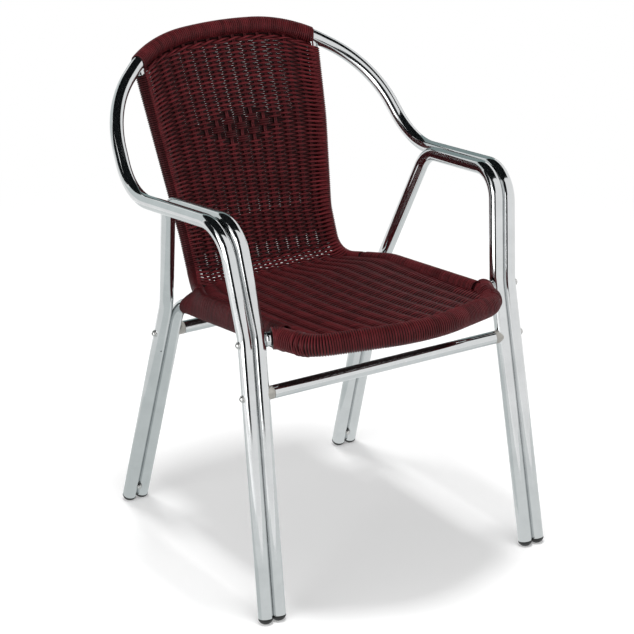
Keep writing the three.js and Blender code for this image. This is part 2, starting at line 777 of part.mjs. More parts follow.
function stretcher(line) {
  const end = line.innerX - TUBE_R - FERRULE_LENGTH - TOUCH_GAP;
  const path = new BentPath([onLine(line, end), onLine(line, -end)], []);
  const bore = STRETCHER_D / 2 - STRETCHER_WALL;
  return toSolid(tubeAlong(path, 0, path.length, STRETCHER_D / 2, bore, SMALL_SIDES, BORE_SIDES));
}

// Button-head bolt and its washer
function bolt(line) {
  const seat = line.outerX + TUBE_R + WASHER_T + TOUCH_GAP;
  const tip = line.innerX - TUBE_R - line.grip;
  const body = toSolid(turned([
    new THREE.Vector2(0, tip - seat),
    new THREE.Vector2(BOLT_D / 2, tip - seat),
    new THREE.Vector2(BOLT_D / 2, 0),
    new THREE.Vector2(BOLT_HEAD_D / 2, 0),
    new THREE.Vector2(BOLT_HEAD_D / 2, BOLT_RIM_H),
    new THREE.Vector2(BOLT_CROWN_D / 2, BOLT_HEAD_H),
    new THREE.Vector2(0, BOLT_HEAD_H),
  ], onLine(line, seat), X_AXIS, SMALL_SIDES));
  const floorX = seat + BOLT_HEAD_H - BOLT_SOCKET_DEPTH;
  const socket = rod(onLine(line, floorX), onLine(line, floorX + OVERRUN), BOLT_SOCKET_D / 2, HEX_SIDES);
  return body.subtract(toSolid(socket));
}

function washer(line) {
  const face = line.outerX + TUBE_R;
  const disc = toSolid(rod(onLine(line, line.outerX), onLine(line, face + WASHER_T), WASHER_D / 2, SMALL_SIDES));
  const leg = line === boltLines.rear
    ? roomRound(sidePath, TUBE_R, sidePath.length / 2)
    : roomRound(archPath, TUBE_R, 0, archPath.length * BACK_START_SHARE);
  return cutAll(disc, [leg, boltHole(line, line.innerX, face + OVERRUN)]);
}

// Border rod, cut to meet the arch above and the wrapped bar in front
function borderRod() {
  const whole = toSolid(tubeAlong(borderPath, 0, borderPath.length, BORDER_R, 0, THIN_SIDES));
  return cutAll(whole, [
    roomRound(archPath, TUBE_R, 0, archPath.length / 2),
    roomRound(barPath, BAR_WRAP_R + WRAP_GIVE, 0, barPath.length / 2),
  ]);
}

// Wrapped sleeves
function archWrap() {
  const start = archPath.find((p) => p.x - ARCH_WRAP_X, archPath.length * BACK_START_SHARE);
  const end = archPath.length - start;
  const wrap = toSolid(tubeAlong(archPath, start, end, TUBE_R + ARCH_WRAP_THICK, TUBE_R + TOUCH_GAP, TUBE_SIDES));
  const rods = roomRound(borderPath, BORDER_R, 0, borderPath.length * LUMBAR_SHARE);
  return cutAll(wrap, [rods, mirrorX(rods)]);
}

function barWrap() {
  const start = barPath.find((p) => p.x - BAR_WRAP_X);
  const end = barPath.length - start;
  const wrap = toSolid(tubeAlong(barPath, start, end, BAR_WRAP_R, TUBE_R + TOUCH_GAP, TUBE_SIDES));
  const rail = roomRound(railPath, TUBE_R, railPath.length / 2);
  return cutAll(wrap, [rail, mirrorX(rail)]);
}

const rollStartS = borderPath.find((p) => p.y - ROLL_REAR_Y, borderPath.length * LUMBAR_SHARE);
function borderWrap() {
  const outer = BORDER_R + BORDER_WRAP_THICK;
  const end = rollStartS - BORDER_WRAP_STOP;
  return toSolid(tubeAlong(borderPath, BORDER_WRAP_TOP, end, outer, BORDER_R + TOUCH_GAP, THIN_SIDES));
}

// Outline round the rail and the border rod together, square to the Y axis
function rollLoop(y, railReach, borderReach) {
  const railC = facetAtDepth(railPath, y, railPath.length * RAIL_RUN_SHARE);
  const borderC = facetAtDepth(borderPath, y, borderPath.length * HEEL_SHARE);
  const loop = [];
  for (let k = 0; k < ROLL_SIDES; k += 1) {
    const a = (2 * Math.PI * k) / ROLL_SIDES;
    const dir = point(Math.cos(a), 0, Math.sin(a));
    const byRail = railC.dot(dir) + railReach >= borderC.dot(dir) + borderReach;
    loop.push(byRail
      ? railC.clone().addScaledVector(dir, railReach)
      : borderC.clone().addScaledVector(dir, borderReach));
  }
  return loop;
}

function sideRoll() {
  const bends = borderPath.stations().map((s) => borderPath.at(s).y);
  const meetStops = bends.filter((y) => y < RAIL_TOE_Y && y > ROLL_FRONT_Y + BORDER_D);
  const stops = [ROLL_REAR_Y, ROLL_BEND_Y, RAIL_TOE_Y, ...meetStops, ROLL_FRONT_Y];
  const railIn = TUBE_R + ROLL_PLAY;
  const borderIn = BORDER_R + ROLL_ROD_PLAY;
  const sections = stops.map((y) => [
    rollLoop(y, railIn + ROLL_WALL, borderIn + ROLL_WALL),
    rollLoop(y, railIn, borderIn),
  ]);
  const plan = sections[0].map((loop) => loop.map((p) => new THREE.Vector2(p.x, p.z)));
  return cutAll(toSolid(loft(sections, plan)), [
    roomRound(railPath, TUBE_R, railPath.length * RAIL_START_SHARE, railPath.length * RAIL_END_SHARE),
    roomRound(barPath, BAR_WRAP_R + WRAP_GIVE, 0, barPath.length / 2),
  ]);
}

// Woven surface. Across runs from -1 on the left border rod to 1 on the right one, and along is
// the length down the border rod and on over the seat to the front bar.
const backFlatS = borderPath.pieces[0].length;
const seatFlatS = borderPath.find((p) => p.y - BORDER_MEET_Y, borderPath.length * HEEL_SHARE);
const seatRun = BORDER_MEET_Y - BAR_CORNER_Y;
const surfaceEnd = seatFlatS + seatRun;
const archAtX = new Map();
const barAtX = new Map();

function onPathAtX(cache, path, x, from) {
  const key = Math.abs(x);
  if (!cache.has(key)) cache.set(key, path.at(path.find((p) => p.x - key, from)));
  const p = cache.get(key);
  return point(x, p.y, p.z);
}

function surfacePoint(across, along) {
  const edge = borderPath.at(Math.min(along, seatFlatS));
  const flat = point(edge.x * across, edge.y, edge.z);
  if (along < backFlatS) {
    const top = onPathAtX(archAtX, archPath, BORDER_TOP_X * across, archPath.length * BACK_START_SHARE);
    const corner = borderPath.at(backFlatS);
    return top.lerp(point(corner.x * across, corner.y, corner.z), along / backFlatS);
  }
  if (along <= seatFlatS) return flat;
  const share = (along - seatFlatS) / seatRun;
  const front = onPathAtX(barAtX, barPath, RAIL_FRONT_X * across, 0);
  front.z += BAR_RISE;
  const out = flat.lerp(front, share);
  out.z -= SEAT_SAG * Math.sin(Math.PI * share) * (1 - across * across);
  return out;
}

function surfaceNormal(across, along) {
  const a = Math.min(Math.max(across, NORMAL_PROBE_SHARE - 1), 1 - NORMAL_PROBE_SHARE);
  const s = Math.min(Math.max(along, NORMAL_PROBE), surfaceEnd - NORMAL_PROBE);
  const side = surfacePoint(a + NORMAL_PROBE_SHARE, s).sub(surfacePoint(a - NORMAL_PROBE_SHARE, s));
  const down = surfacePoint(a, s + NORMAL_PROBE).sub(surfacePoint(a, s - NORMAL_PROBE));
  return down.cross(side).normalize();
}

const stakeShare = (k) => k / (STAKES_EACH_SIDE + 1);
const stakeNumbers = Array.from({ length: STAKES_EACH_SIDE * 2 + 1 }, (_, k) => k - STAKES_EACH_SIDE);

function stakeLoop(k, along, size, sides) {
  const middle = surfacePoint(stakeShare(k), along);
  const normal = surfaceNormal(stakeShare(k), along);
  const loop = [];
  for (let i = 0; i < sides; i += 1) {
    const a = (2 * Math.PI * i) / sides;
    const out = middle.clone().addScaledVector(X_AXIS, size.x * Math.cos(a));
    loop.push(out.addScaledVector(normal, size.y * Math.sin(a)));
  }
  return loop;
}

function flatLoop(centreX, size, sides) {
  return circleShape(1, sides).map((p) => new THREE.Vector2(p.x * size.x + centreX, p.y * size.y));
}

// Lengths down the surface at which the weave and stakes have a section
function surfaceStops(from, to) {
  const stops = borderPath.stations().filter((s) => s < seatFlatS - STAKE_W);
  stops.push(seatFlatS);
  for (let k = 1; k <= SEAT_STEPS; k += 1) stops.push(seatFlatS + (seatRun * k) / SEAT_STEPS);
  const inside = stops.filter((s) => s > from + STAKE_W && s < to - STAKE_W);
  return [from, ...inside, to];
}

const barRoom = roomRound(barPath, BAR_WRAP_R);
const archRoom = roomRound(archPath, TUBE_R + ARCH_WRAP_THICK, archPath.length * BACK_START_SHARE, archPath.length * BACK_END_SHARE);

function stake(k) {
  const sections = surfaceStops(0, surfaceEnd).map((s) => [stakeLoop(k, s, STAKE_SIZE, HEX_SIDES)]);
  return cutAll(toSolid(loft(sections, [flatLoop(0, STAKE_SIZE, HEX_SIDES)])), [archRoom, barRoom]);
}

// One section of the weave: thick over each stake, thin where the strands cross between stakes
function weaveSection(along) {
  const edge = borderPath.at(Math.min(along, seatFlatS));
  const edgeShare = 1 - PANEL_EDGE / edge.x;
  const crest = STAKE_T / 2 + STRAND_D;
  const ribs = [[-edgeShare, PANEL_NECK / 2]];
  stakeNumbers.forEach((k) => {
    if (k > -STAKES_EACH_SIDE) ribs.push([stakeShare(k - 1 / 2), PANEL_NECK / 2]);
    ribs.push([stakeShare(k), crest]);
  });
  ribs.push([edgeShare, PANEL_NECK / 2]);
  const skin = (side) => ([across, half]) => surfacePoint(across, along)
    .addScaledVector(surfaceNormal(across, along), side * half);
  const outline = [...ribs.map(skin(-1)), ...ribs.map(skin(1)).reverse()];
  const bores = stakeNumbers.map((k) => stakeLoop(k, along, STAKE_SLOT_SIZE, SLOT_SIDES));
  return [outline, ...bores];
}

function weavePlan() {
  const span = RAIL_FRONT_X;
  const edge = span - PANEL_EDGE;
  const crest = STAKE_T / 2 + STRAND_D;
  const ribs = [new THREE.Vector2(-edge, PANEL_NECK / 2)];
  stakeNumbers.forEach((k) => {
    if (k > -STAKES_EACH_SIDE) ribs.push(new THREE.Vector2(span * stakeShare(k - 1 / 2), PANEL_NECK / 2));
    ribs.push(new THREE.Vector2(span * stakeShare(k), crest));
  });
  ribs.push(new THREE.Vector2(edge, PANEL_NECK / 2));
  const low = ribs.map((p) => new THREE.Vector2(p.x, -p.y));
  const bores = stakeNumbers.map((k) => flatLoop(span * stakeShare(k), STAKE_SLOT_SIZE, SLOT_SIDES));
  return [[...low, ...ribs.reverse()], ...bores];
}

const splitS = borderPath.stations().find((s) => borderPath.at(s).y < PANEL_SPLIT_Y);

function weave(from, to) {
  return toSolid(loft(surfaceStops(from, to).map(weaveSection), weavePlan()));
}

// Assembly
function addPair(name, solid, look) {
  addPiece(`${name}_right`, toGeometry(solid), look);
  addPiece(`${name}_left`, toGeometry(mirrorX(solid)), look);
}

addPiece('arch_tube', toGeometry(archTube()), 'aluminium');
addPair('side_tube', sideTube(), 'aluminium');
addPair('seat_rail', seatRail(), 'aluminium');
addPiece('front_bar', toGeometry(frontBar()), 'aluminium');
addPair('bar_insert', barInsert(), 'fastener');
addPiece('front_stretcher', toGeometry(stretcher(boltLines.front_lower)), 'aluminium');
addPiece('rear_stretcher', toGeometry(stretcher(boltLines.rear)), 'aluminium');
addPair('ferrule_front', ferrule(boltLines.front_lower), 'ferrule');
addPair('ferrule_rear', ferrule(boltLines.rear), 'ferrule');
Object.entries(boltLines).forEach(([name, line]) => {
  addPair(`bolt_${name}`, bolt(line), 'fastener');
  addPair(`washer_${name}`, washer(line), 'fastener');
});
addPair('tie_screw', tieScrew(), 'fastener');
Object.entries(feet).forEach(([name, frame]) => addPair(`foot_${name}`, footCap(frame), 'rubber'));
addPair('border_rod', borderRod(), 'wicker');
addPiece('arch_wrap', toGeometry(archWrap()), 'wicker');
addPiece('bar_wrap', toGeometry(barWrap()), 'wicker');
addPair('border_wrap', borderWrap(), 'wicker');
addPair('side_roll', sideRoll(), 'wicker');
addPiece('back_weave', toGeometry(weave(PANEL_TOP, splitS)), 'wicker');
addPiece('seat_weave', toGeometry(weave(splitS + TOUCH_GAP, surfaceEnd).subtract(barRoom)), 'wicker');
stakeNumbers.forEach((k) => {
  const side = k > 0 ? 'right' : 'left';
  const name = k === 0 ? 'stake_centre' : `stake_${side}_${Math.abs(k)}`;
  addPiece(name, toGeometry(stake(k)), 'wicker');
});

// Origin at the middle of the floor rectangle the chair fills
const bounds = new THREE.Box3().setFromObject(chair);
const middle = bounds.getCenter(new THREE.Vector3());
chair.children.forEach((mesh) => mesh.geometry.translate(-middle.x, -middle.y, -bounds.min.z));

export default chair;
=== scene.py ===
import math

import bpy
import numpy as np
from mathutils import Matrix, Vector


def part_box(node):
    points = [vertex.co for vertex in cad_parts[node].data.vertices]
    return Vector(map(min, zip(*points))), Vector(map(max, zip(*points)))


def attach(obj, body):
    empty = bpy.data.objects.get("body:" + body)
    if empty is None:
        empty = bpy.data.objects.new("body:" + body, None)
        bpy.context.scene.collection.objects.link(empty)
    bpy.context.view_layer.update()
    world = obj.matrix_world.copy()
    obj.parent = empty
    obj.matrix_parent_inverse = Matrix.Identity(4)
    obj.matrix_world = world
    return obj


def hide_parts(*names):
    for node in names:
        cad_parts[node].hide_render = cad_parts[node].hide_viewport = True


# Looks of the stacking bistro armchair, in metres with +Z up.
# The chair faces -Y, and left and right are as seen from the front.
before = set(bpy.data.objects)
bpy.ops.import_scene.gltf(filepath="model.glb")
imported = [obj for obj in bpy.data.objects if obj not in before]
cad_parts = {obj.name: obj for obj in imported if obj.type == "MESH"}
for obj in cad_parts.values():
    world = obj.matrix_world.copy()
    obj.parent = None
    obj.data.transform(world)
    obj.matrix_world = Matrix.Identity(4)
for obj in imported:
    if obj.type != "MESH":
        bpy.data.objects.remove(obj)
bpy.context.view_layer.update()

# Tube stock and centre lines, as in the CAD model
TUBE_R = 0.012
PAIR_PITCH = 0.0243
STRETCHER_R = 0.011
BORDER_R = 0.008
FRONT_FOOT = (0.2735, -0.273, 0.0)
KNEE = (0.257, -0.196, 0.463)
KNEE_BEND_R = 0.146
ARM_FRONT = (0.274, -0.165, 0.6465)
ARCH_ARM_BEND_R = 0.061
SIDE_ARM_BEND_R = 0.051
ARM_REAR = (0.2825, 0.127, 0.6185)
ARM_REAR_BEND_R = 0.116
SHOULDER = (0.261, 0.2325, 0.7425)
SHOULDER_BEND_R = 0.216
CROWN = (0.1365, 0.3165, 0.8185)
CROWN_BEND_R = 0.205
ARCH_TOP = (0.0, 0.322, 0.8274)
TOP_BEND_R = 0.770
SIDE_DROP_Y = 0.046
SIDE_DROP_BEND_R = 0.047
HIP = (0.2215, 0.129, 0.418)
HIP_BEND_R = 0.154
REAR_FOOT = (0.2365, 0.273, 0.0)
RAIL_HIP_Z = 0.4160
RAIL_HIP_BEND_R = 0.048
RAIL_TOE = (0.1895, 0.072, 0.4168)
RAIL_TOE_BEND_R = 0.150
RAIL_FRONT = (0.186, -0.234, 0.4484)
BAR_END_Z = 0.4565
BAR_TURN_X = 0.2005
BAR_TURN_BEND_R = 0.020
BAR_CORNER_X = 0.178
BAR_CORNER_Y = -0.265
BAR_CORNER_BEND_R = 0.065
BAR_MIDDLE_Y = -0.3355
BAR_MIDDLE_Z = 0.470
BAR_MIDDLE_BEND_R = 0.190
BAR_SINK = 0.001
BORDER_TOP_X = 0.1745
BORDER_MID = (0.1625, 0.2435, 0.661)
BORDER_LUMBAR = (0.144, 0.200, 0.5075)
BORDER_HEEL = (0.1435, 0.1655, 0.422)
BORDER_BEND_RADII = (0.600, 0.120, 0.045, 0.080)
BORDER_MEET_Y = 0.056
BORDER_END_Y = -0.209
BORDER_LIFT = 0.0203
ROD_START = 0.010
FRONT_STRETCHER_Z = 0.371
REAR_STRETCHER_Z = 0.359
DRAIN_Z = 0.324
SEAT_SAG = 0.006
BAR_RISE = 0.008
STAKES_EACH_SIDE = 6

# Woven rows, their diamond motif and the stakes
WEFT_R = 0.00180
BACK_WIDTH_SHARE = 1.03
SEAT_WIDTH_SHARE = 1.06
WEFT_SWING = 0.0031
FRONT_SPREAD = 0.22
REAR_SPREAD = 0.68
BACK_ROW_PITCH = 0.00372
UPPER_PITCH_SHARE = 0.93
SEAT_ROW_PITCH = 0.0037
ROW_START = 0.0228
LEVEL_ROW_Z = 0.520
LEVEL_BLEND = 0.030
SPLIT_Y = 0.140
LUMBAR_HEIGHTS = (0.075, 0.062, 0.050, 0.038, 0.026, 0.010)
LUMBAR_WIDTH_SHARES = (1.0, 0.86, 0.90, 1.07, 1.17, 1.05)
MOTIF_Z = 0.6510
MOTIF_BLOCK_ROWS = 3
MOTIF_REACH = 3
RIM_S = 0.0186
RIM_R = 0.0019
RIM_SWING = 0.0042
RIM_TWIST = 0.0016
RIM_WIDTH_SHARE = 1.1
BACKING_PLACES = (0.0125, 0.0155, RIM_S)
STAKE_STRAND_R = 0.00155
STAKE_PROUD = 0.0022
STAKE_TOP = 0.004
STAKE_STOP = 0.006

# Wound wraps
WRAP_STRAND_R = 0.00145
CORE_SINK_SHARE = 0.4
ARCH_WRAP_R = 0.0133
ARCH_WRAP_PITCH = 0.0038
ARCH_WRAP_X = 0.1755
ARCH_WRAP_SLANT = 0.0055
ARCH_WIDTH_SHARE = 1.2
ARCH_CORE_INSET = 0.003
SLANT_REACH = 0.030
SLANT_SIDE = (0, 0.35, 0.94)
BORDER_WRAP_R = 0.0094
BORDER_WRAP_PITCH = 0.0037
BORDER_WRAP_TOP = 0.021
BORDER_WRAP_STOP = 0.006
BORDER_WIDTH_SHARE = 1.15
CORNER_CORD_RUN = (0.010, 0.026)
CORNER_CORD_ANGLES = (5, 32, 59)
CORNER_CORD_SEAT_SHARE = 0.8
BAR_WRAP_R = 0.0171
BAR_WRAP_PITCH = 0.0040
BAR_WRAP_X = 0.2085
BAR_STRAND_R = 0.00165
BAR_STRAND_SINK = 0.0002
TUCK_STARTS = (0.034, 0.041, 0.048)
TUCK_LENGTH = 0.022
TUCK_PROUD = 0.0010
ROLL_REAR_Y = 0.109
ROLL_FRONT_Y = -0.205
ROLL_PITCH = 0.0036
ROLL_PAIR_SHIFT = 0.00025
ROLL_ROUNDING = 0.0022
ROLL_CORE_SINK = 0.0004

# Tones of the strands, from 0 in the deepest crevice to 1. Most of them are painted shade (crevices,
# undersides, dives behind stakes, flush stakes, motif floats, the rim's backing, the seat's rear); the rest
# is random tone per row, stake and turn.
ROW_TONES = (0.6, 1.0)
# Painted shade at the rear of the seat under the back, and the length over which it blends in
SEAT_REAR_SHADE = 0.72
SEAT_SHADE_BLEND = 0.02
# Painted shade where a row dives behind a stake, and how fast it deepens
BEHIND_STAKE_SHADE = 0.10
DIVE_POWER = 1.5
# Painted shade on the floats of the diamond motif
MOTIF_FLOAT_SHADE = 0.55
# Near-black strands under the arch wrap, painted shade there
BACKING_SHADE = 0.12
STAKE_TONES = (0.85, 1.0)
# Painted shade on stakes where they lie flush between the rows
FLUSH_STAKE_SHADE = 0.80
# Painted shade on each strand's flanks and underside: its darkest tone, and the height and reach of the
# darkening
CREVICE_SHADE = 0.14
CREVICE_HEIGHT = -0.45
CREVICE_REACH = 1.3
WRAP_DARKEST = 0.45
BORDER_DARKEST = 0.75
CORD_TONE = 0.85
TONE_SEED = 7

# Sampling
TUBE_STEP = 0.010
BEND_STEP_SHARE = 0.022
TABLE_STEP = 0.0004
TABLE_MARGIN = 0.004
TANGENT_STEP = 1e-5
SAME_PLACE = 1e-6
COIL_STEP = 0.002
COIL_MARGIN = 1e-4
PROBE = 0.0006
PROBE_SHARE = 0.004
STEEP_SHARE = 0.7
TUBE_SIDES = 56
ROD_SIDES = 24
LATHE_SIDES = 48
STRAND_SIDES = 6
SPAN_STEPS = 8
STAKE_SIDES = 8
STAKE_RINGS = 420
ARCH_TURN_STEPS = 22
ARCH_CORE_SIDES = 24
BAR_TURN_STEPS = 26
BAR_CORE_SIDES = 32
TUCK_TURN_STEPS = 40
BORDER_TURN_STEPS = 16
BORDER_CORE_SIDES = 20
ROLL_TURN_STEPS = 30
ROLL_CORE_SKIP = 4
ROLL_OUTLINE_POINTS = 361
CORD_RINGS = 12


# Points and paths
def vec(*xyz):
    return np.array(xyz, float)


def unit(v):
    return v / np.linalg.norm(v, axis=-1, keepdims=True)


def mirrored(p):
    return (-p[0], p[1], p[2])


def lerp(a, b, share):
    return a + (b - a) * share


def interp_rows(x, xs, rows):
    """Points between the rows of a table, one interpolation for each column."""
    return np.stack([np.interp(x, xs, column) for column in rows.T], axis=-1)


class BentPath:
    """A tube's centre line: straight runs joined by true arcs."""

    def __init__(self, corners, radii):
        corners = [vec(*c) for c in corners]
        self.pieces = []
        self.length = 0.0
        start = corners[0]
        for i in range(1, len(corners) - 1):
            corner = corners[i]
            back = unit(corners[i - 1] - corner)
            ahead = unit(corners[i + 1] - corner)
            half = math.acos(float(back @ ahead)) / 2
            trim = radii[i - 1] / math.tan(half)
            self._line(start, corner + back * trim)
            self._arc(corner, back, ahead, radii[i - 1], half, trim)
            start = corner + ahead * trim
        self._line(start, corners[-1])
        self.table_s = np.linspace(0.0, self.length, int(self.length / TABLE_STEP) + 2)
        self.table = np.array([self.point(s) for s in self.table_s])

    def _line(self, a, b):
        length = float(np.linalg.norm(b - a))
        self.pieces.append((self.length, length, a, unit(b - a), None, None))
        self.length += length

    def _arc(self, corner, back, ahead, radius, half, trim):
        centre = corner + unit(back + ahead) * radius / math.sin(half)
        e0 = unit(corner + back * trim - centre)
        e1 = unit(corner + ahead * trim - centre)
        angle = math.acos(float(e0 @ e1))
        side = unit(e1 - e0 * float(e1 @ e0))
        self.pieces.append((self.length, radius * angle, centre, e0, side, radius))
        self.length += radius * angle

    def point(self, s):
        """The exact place of one length along the path."""
        for start, length, origin, e0, side, radius in self.pieces:
            if s <= start + length:
                break
        d = s - start
        if radius is None:
            return origin + e0 * d
        return origin + radius * (e0 * math.cos(d / radius) + side * math.sin(d / radius))

    def at(self, s):
        """Places of one or more lengths, from the path's table."""
        return interp_rows(s, self.table_s, self.table)

    def find(self, axis, value, start=0.0):
        """The first length past start where a coordinate crosses a value."""
        gap = self.table[:, axis] - value
        for i in range(len(gap) - 1):
            if self.table_s[i] >= start and gap[i] * gap[i + 1] <= 0:
                share = gap[i] / (gap[i] - gap[i + 1])
                return lerp(self.table_s[i], self.table_s[i + 1], share)
        raise ValueError("no crossing on the path")

    def stations(self, s0, s1):
        """Lengths along the path, close together where it bends."""
        marks = [s0]
        for start, length, _, _, _, radius in self.pieces:
            step = TUBE_STEP if radius is None else min(TUBE_STEP, BEND_STEP_SHARE * radius)
            marks += list(np.linspace(start, start + length, max(2, int(length / step) + 1)))
        marks = np.array(sorted(marks + [s1]))
        marks = marks[(marks >= s0) & (marks <= s1)]
        return marks[np.concatenate([[True], np.diff(marks) > SAME_PLACE])]

    def tangents(self, s):
        ahead = np.array([self.point(min(v + TANGENT_STEP, self.length)) for v in s])
        behind = np.array([self.point(max(v - TANGENT_STEP, 0.0)) for v in s])
        return unit(ahead - behind)


X_AXIS = vec(1, 0, 0)
Z_AXIS = vec(0, 0, 1)


def helper_axis(direction, first, second):
    """The first axis, or the second where a direction runs nearly along the first."""
    return first if abs(direction @ first) < STEEP_SHARE else second


def carried_frames(points, tangents=None):
    """Section directions carried along a line of points without twist."""
    if tangents is None:
        tangents = unit(np.gradient(points, axis=0))
    normal = unit(np.cross(tangents[0], helper_axis(tangents[0], X_AXIS, Z_AXIS)))
    normals = [normal]
    for t in tangents[1:]:
        normal = unit(normal - t * float(normal @ t))
        normals.append(normal)
    normals = np.array(normals)
    return normals, np.cross(tangents, normals)


# Centre lines
arch_half = [FRONT_FOOT, KNEE, ARM_FRONT, ARM_REAR, SHOULDER, CROWN]
arch_radii = [KNEE_BEND_R, ARCH_ARM_BEND_R, ARM_REAR_BEND_R, SHOULDER_BEND_R, CROWN_BEND_R]
arch_path = BentPath(
    arch_half + [ARCH_TOP] + [mirrored(p) for p in reversed(arch_half)],
    arch_radii + [TOP_BEND_R] + arch_radii[::-1],
)
inward = vec(-PAIR_PITCH, 0, 0)
drop_share = (SIDE_DROP_Y - ARM_FRONT[1]) / (ARM_REAR[1] - ARM_FRONT[1])
side_drop = lerp(vec(*ARM_FRONT), vec(*ARM_REAR), drop_share) + inward
side_path = BentPath(
    [vec(*p) + inward for p in (FRONT_FOOT, KNEE, ARM_FRONT)] + [side_drop, HIP, REAR_FOOT],
    [KNEE_BEND_R, SIDE_ARM_BEND_R, SIDE_DROP_BEND_R, HIP_BEND_R],
)
rear_foot_inner = vec(*REAR_FOOT) + inward
rail_hip = lerp(rear_foot_inner, vec(*HIP) + inward, RAIL_HIP_Z / HIP[2])
rail_path = BentPath(
    [rear_foot_inner, rail_hip, RAIL_TOE, RAIL_FRONT], [RAIL_HIP_BEND_R, RAIL_TOE_BEND_R]
)
bar_end = side_path.at(side_path.find(2, BAR_END_Z))
bar_half = [
    tuple(bar_end),
    (BAR_TURN_X, bar_end[1], BAR_END_Z),
    (BAR_CORNER_X, BAR_CORNER_Y, BAR_END_Z),
]
bar_path = BentPath(
    bar_half + [(0.0, BAR_MIDDLE_Y, BAR_MIDDLE_Z)] + [mirrored(p) for p in reversed(bar_half)],
    [BAR_TURN_BEND_R, BAR_CORNER_BEND_R, BAR_MIDDLE_BEND_R, BAR_CORNER_BEND_R, BAR_TURN_BEND_R],
)
rail_run = vec(*RAIL_FRONT) - vec(*RAIL_TOE)
border_lift = unit(vec(0, rail_run[2], -rail_run[1])) * BORDER_LIFT


def above_rail(y):
    return vec(*RAIL_TOE) + rail_run * (y - RAIL_TOE[1]) / rail_run[1] + border_lift


border_top = arch_path.at(arch_path.find(0, BORDER_TOP_X, arch_path.length / 4))
border_corners = [border_top, BORDER_MID, BORDER_LUMBAR, BORDER_HEEL]
border_path = BentPath(
    border_corners + [above_rail(BORDER_MEET_Y), above_rail(BORDER_END_Y)], BORDER_BEND_RADII
)

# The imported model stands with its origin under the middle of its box, which shifts these lines in Y
stretcher_low, stretcher_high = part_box("rear_stretcher")
rear_line_y = rail_path.at(rail_path.find(2, REAR_STRETCHER_Z))[1]
SHIFT = vec(0, (stretcher_low.y + stretcher_high.y) / 2 - rear_line_y, 0)


# Meshes
def build_mesh(name, parts, sharp_angle=None):
    """One mesh from rows of rings. A part is (rings, tone), rings (n, m, 3) and a tone that fits (n, m)."""
    verts, loops, starts, tones = [], [], [], []
    base = 0
    used = 0
    for rings, tone in parts:
        n, m, _ = rings.shape
        ring = np.arange(m)
        row = np.arange(n - 1)[:, None] * m
        a = (row + ring).ravel()
        b = (row + (ring + 1) % m).ravel()
        quads = np.stack([a, b, b + m, a + m], axis=1) + base
        caps = np.stack([ring[::-1] + base, ring + base + (n - 1) * m])
        loops += [quads.ravel(), caps.ravel()]
        starts += [used + np.arange(len(quads)) * 4, used + len(quads) * 4 + np.arange(2) * m]
        used += len(quads) * 4 + 2 * m
        verts.append(rings.reshape(-1, 3))
        tones.append(np.broadcast_to(tone, (n, m)).ravel())
        base += n * m
    verts = np.concatenate(verts) + SHIFT
    loops = np.concatenate(loops)
    starts = np.concatenate(starts)
    mesh = bpy.data.meshes.new(name)
    mesh.vertices.add(len(verts))
    mesh.vertices.foreach_set("co", verts.astype(np.float32).ravel())
    mesh.loops.add(len(loops))
    mesh.loops.foreach_set("vertex_index", loops.astype(np.int32))
    mesh.polygons.add(len(starts))
    mesh.polygons.foreach_set("loop_start", starts.astype(np.int32))
    mesh.update(calc_edges=True)
    mesh.validate()
    # The tone attribute holds random tone and painted shade, which the wicker material multiplies into its
    # colour
    tone = mesh.attributes.new("tone", "FLOAT", "POINT")
    tone.data.foreach_set("value", np.concatenate(tones).astype(np.float32))
    mesh.shade_smooth()
    if sharp_angle:
        mesh.set_sharp_from_angle(angle=math.radians(sharp_angle))
    return mesh


def add_piece(name, parts, slot, nodes=(), sharp_angle=None):
    piece = bpy.data.objects.new(name, build_mesh(name, parts, sharp_angle))
    bpy.context.scene.collection.objects.link(piece)
    piece.data.materials.append(materials[slot])
    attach(piece, "root")
    if nodes:
        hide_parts(*nodes)


def flipped(parts):
    """Parts mirrored to the left side, wound so that faces still point out."""
    return [((rings * vec(-1, 1, 1))[:, ::-1], tone) for rings, tone in parts]


def add_pairs(slot, *pieces, sharp_angle=None):
    """Pieces on the right and their mirror images on the left. Each is (name, node or None, parts)."""
    for side in ("right", "left"):
        for name, node, parts in pieces:
            turned = flipped(parts) if side == "left" else parts
            nodes = [f"{node}_{side}"] if node else []
            add_piece(f"{name}_{side}", turned, slot, nodes, sharp_angle)


def circle(sides):
    a = np.linspace(0, 2 * math.pi, sides, endpoint=False)
    return np.cos(a), np.sin(a)


def rings_round(points, first, second, radius, sides):
    """Rings round points, in the planes of two section directions."""
    c, s = circle(sides)
    return points[:, None] + radius * (first[:, None] * c[:, None] + second[:, None] * s[:, None])


def tube_parts(path, s0, s1, radius, sides=TUBE_SIDES, tone=1.0):
    marks = path.stations(s0, s1)
    points = np.array([path.point(s) for s in marks])
    normals, binormals = carried_frames(points, path.tangents(marks))
    return [(rings_round(points, normals, binormals, radius, sides), tone)]


def strand(points, outward, radius, tone=1.0, width_share=1.0, sides=STRAND_SIDES):
    """A strand along a line of points, its top outward and its flanks and underside darkened with painted
    shade. Tone and width may vary.
    """
    tangents = unit(np.gradient(points, axis=0))
    across = unit(np.cross(tangents, outward))
    up = np.cross(across, tangents)
    rings = rings_round(points, across * np.reshape(width_share, (-1, 1)), up, radius, sides)
    # Painted shade: darker towards the strand's underside, away from its outward side
    height = np.clip((circle(sides)[1] - CREVICE_HEIGHT) / CREVICE_REACH, 0, 1)
    return rings, lerp(CREVICE_SHADE, 1, height) * np.reshape(tone, (-1, 1))


HEXAGONAL = "hexagonal"


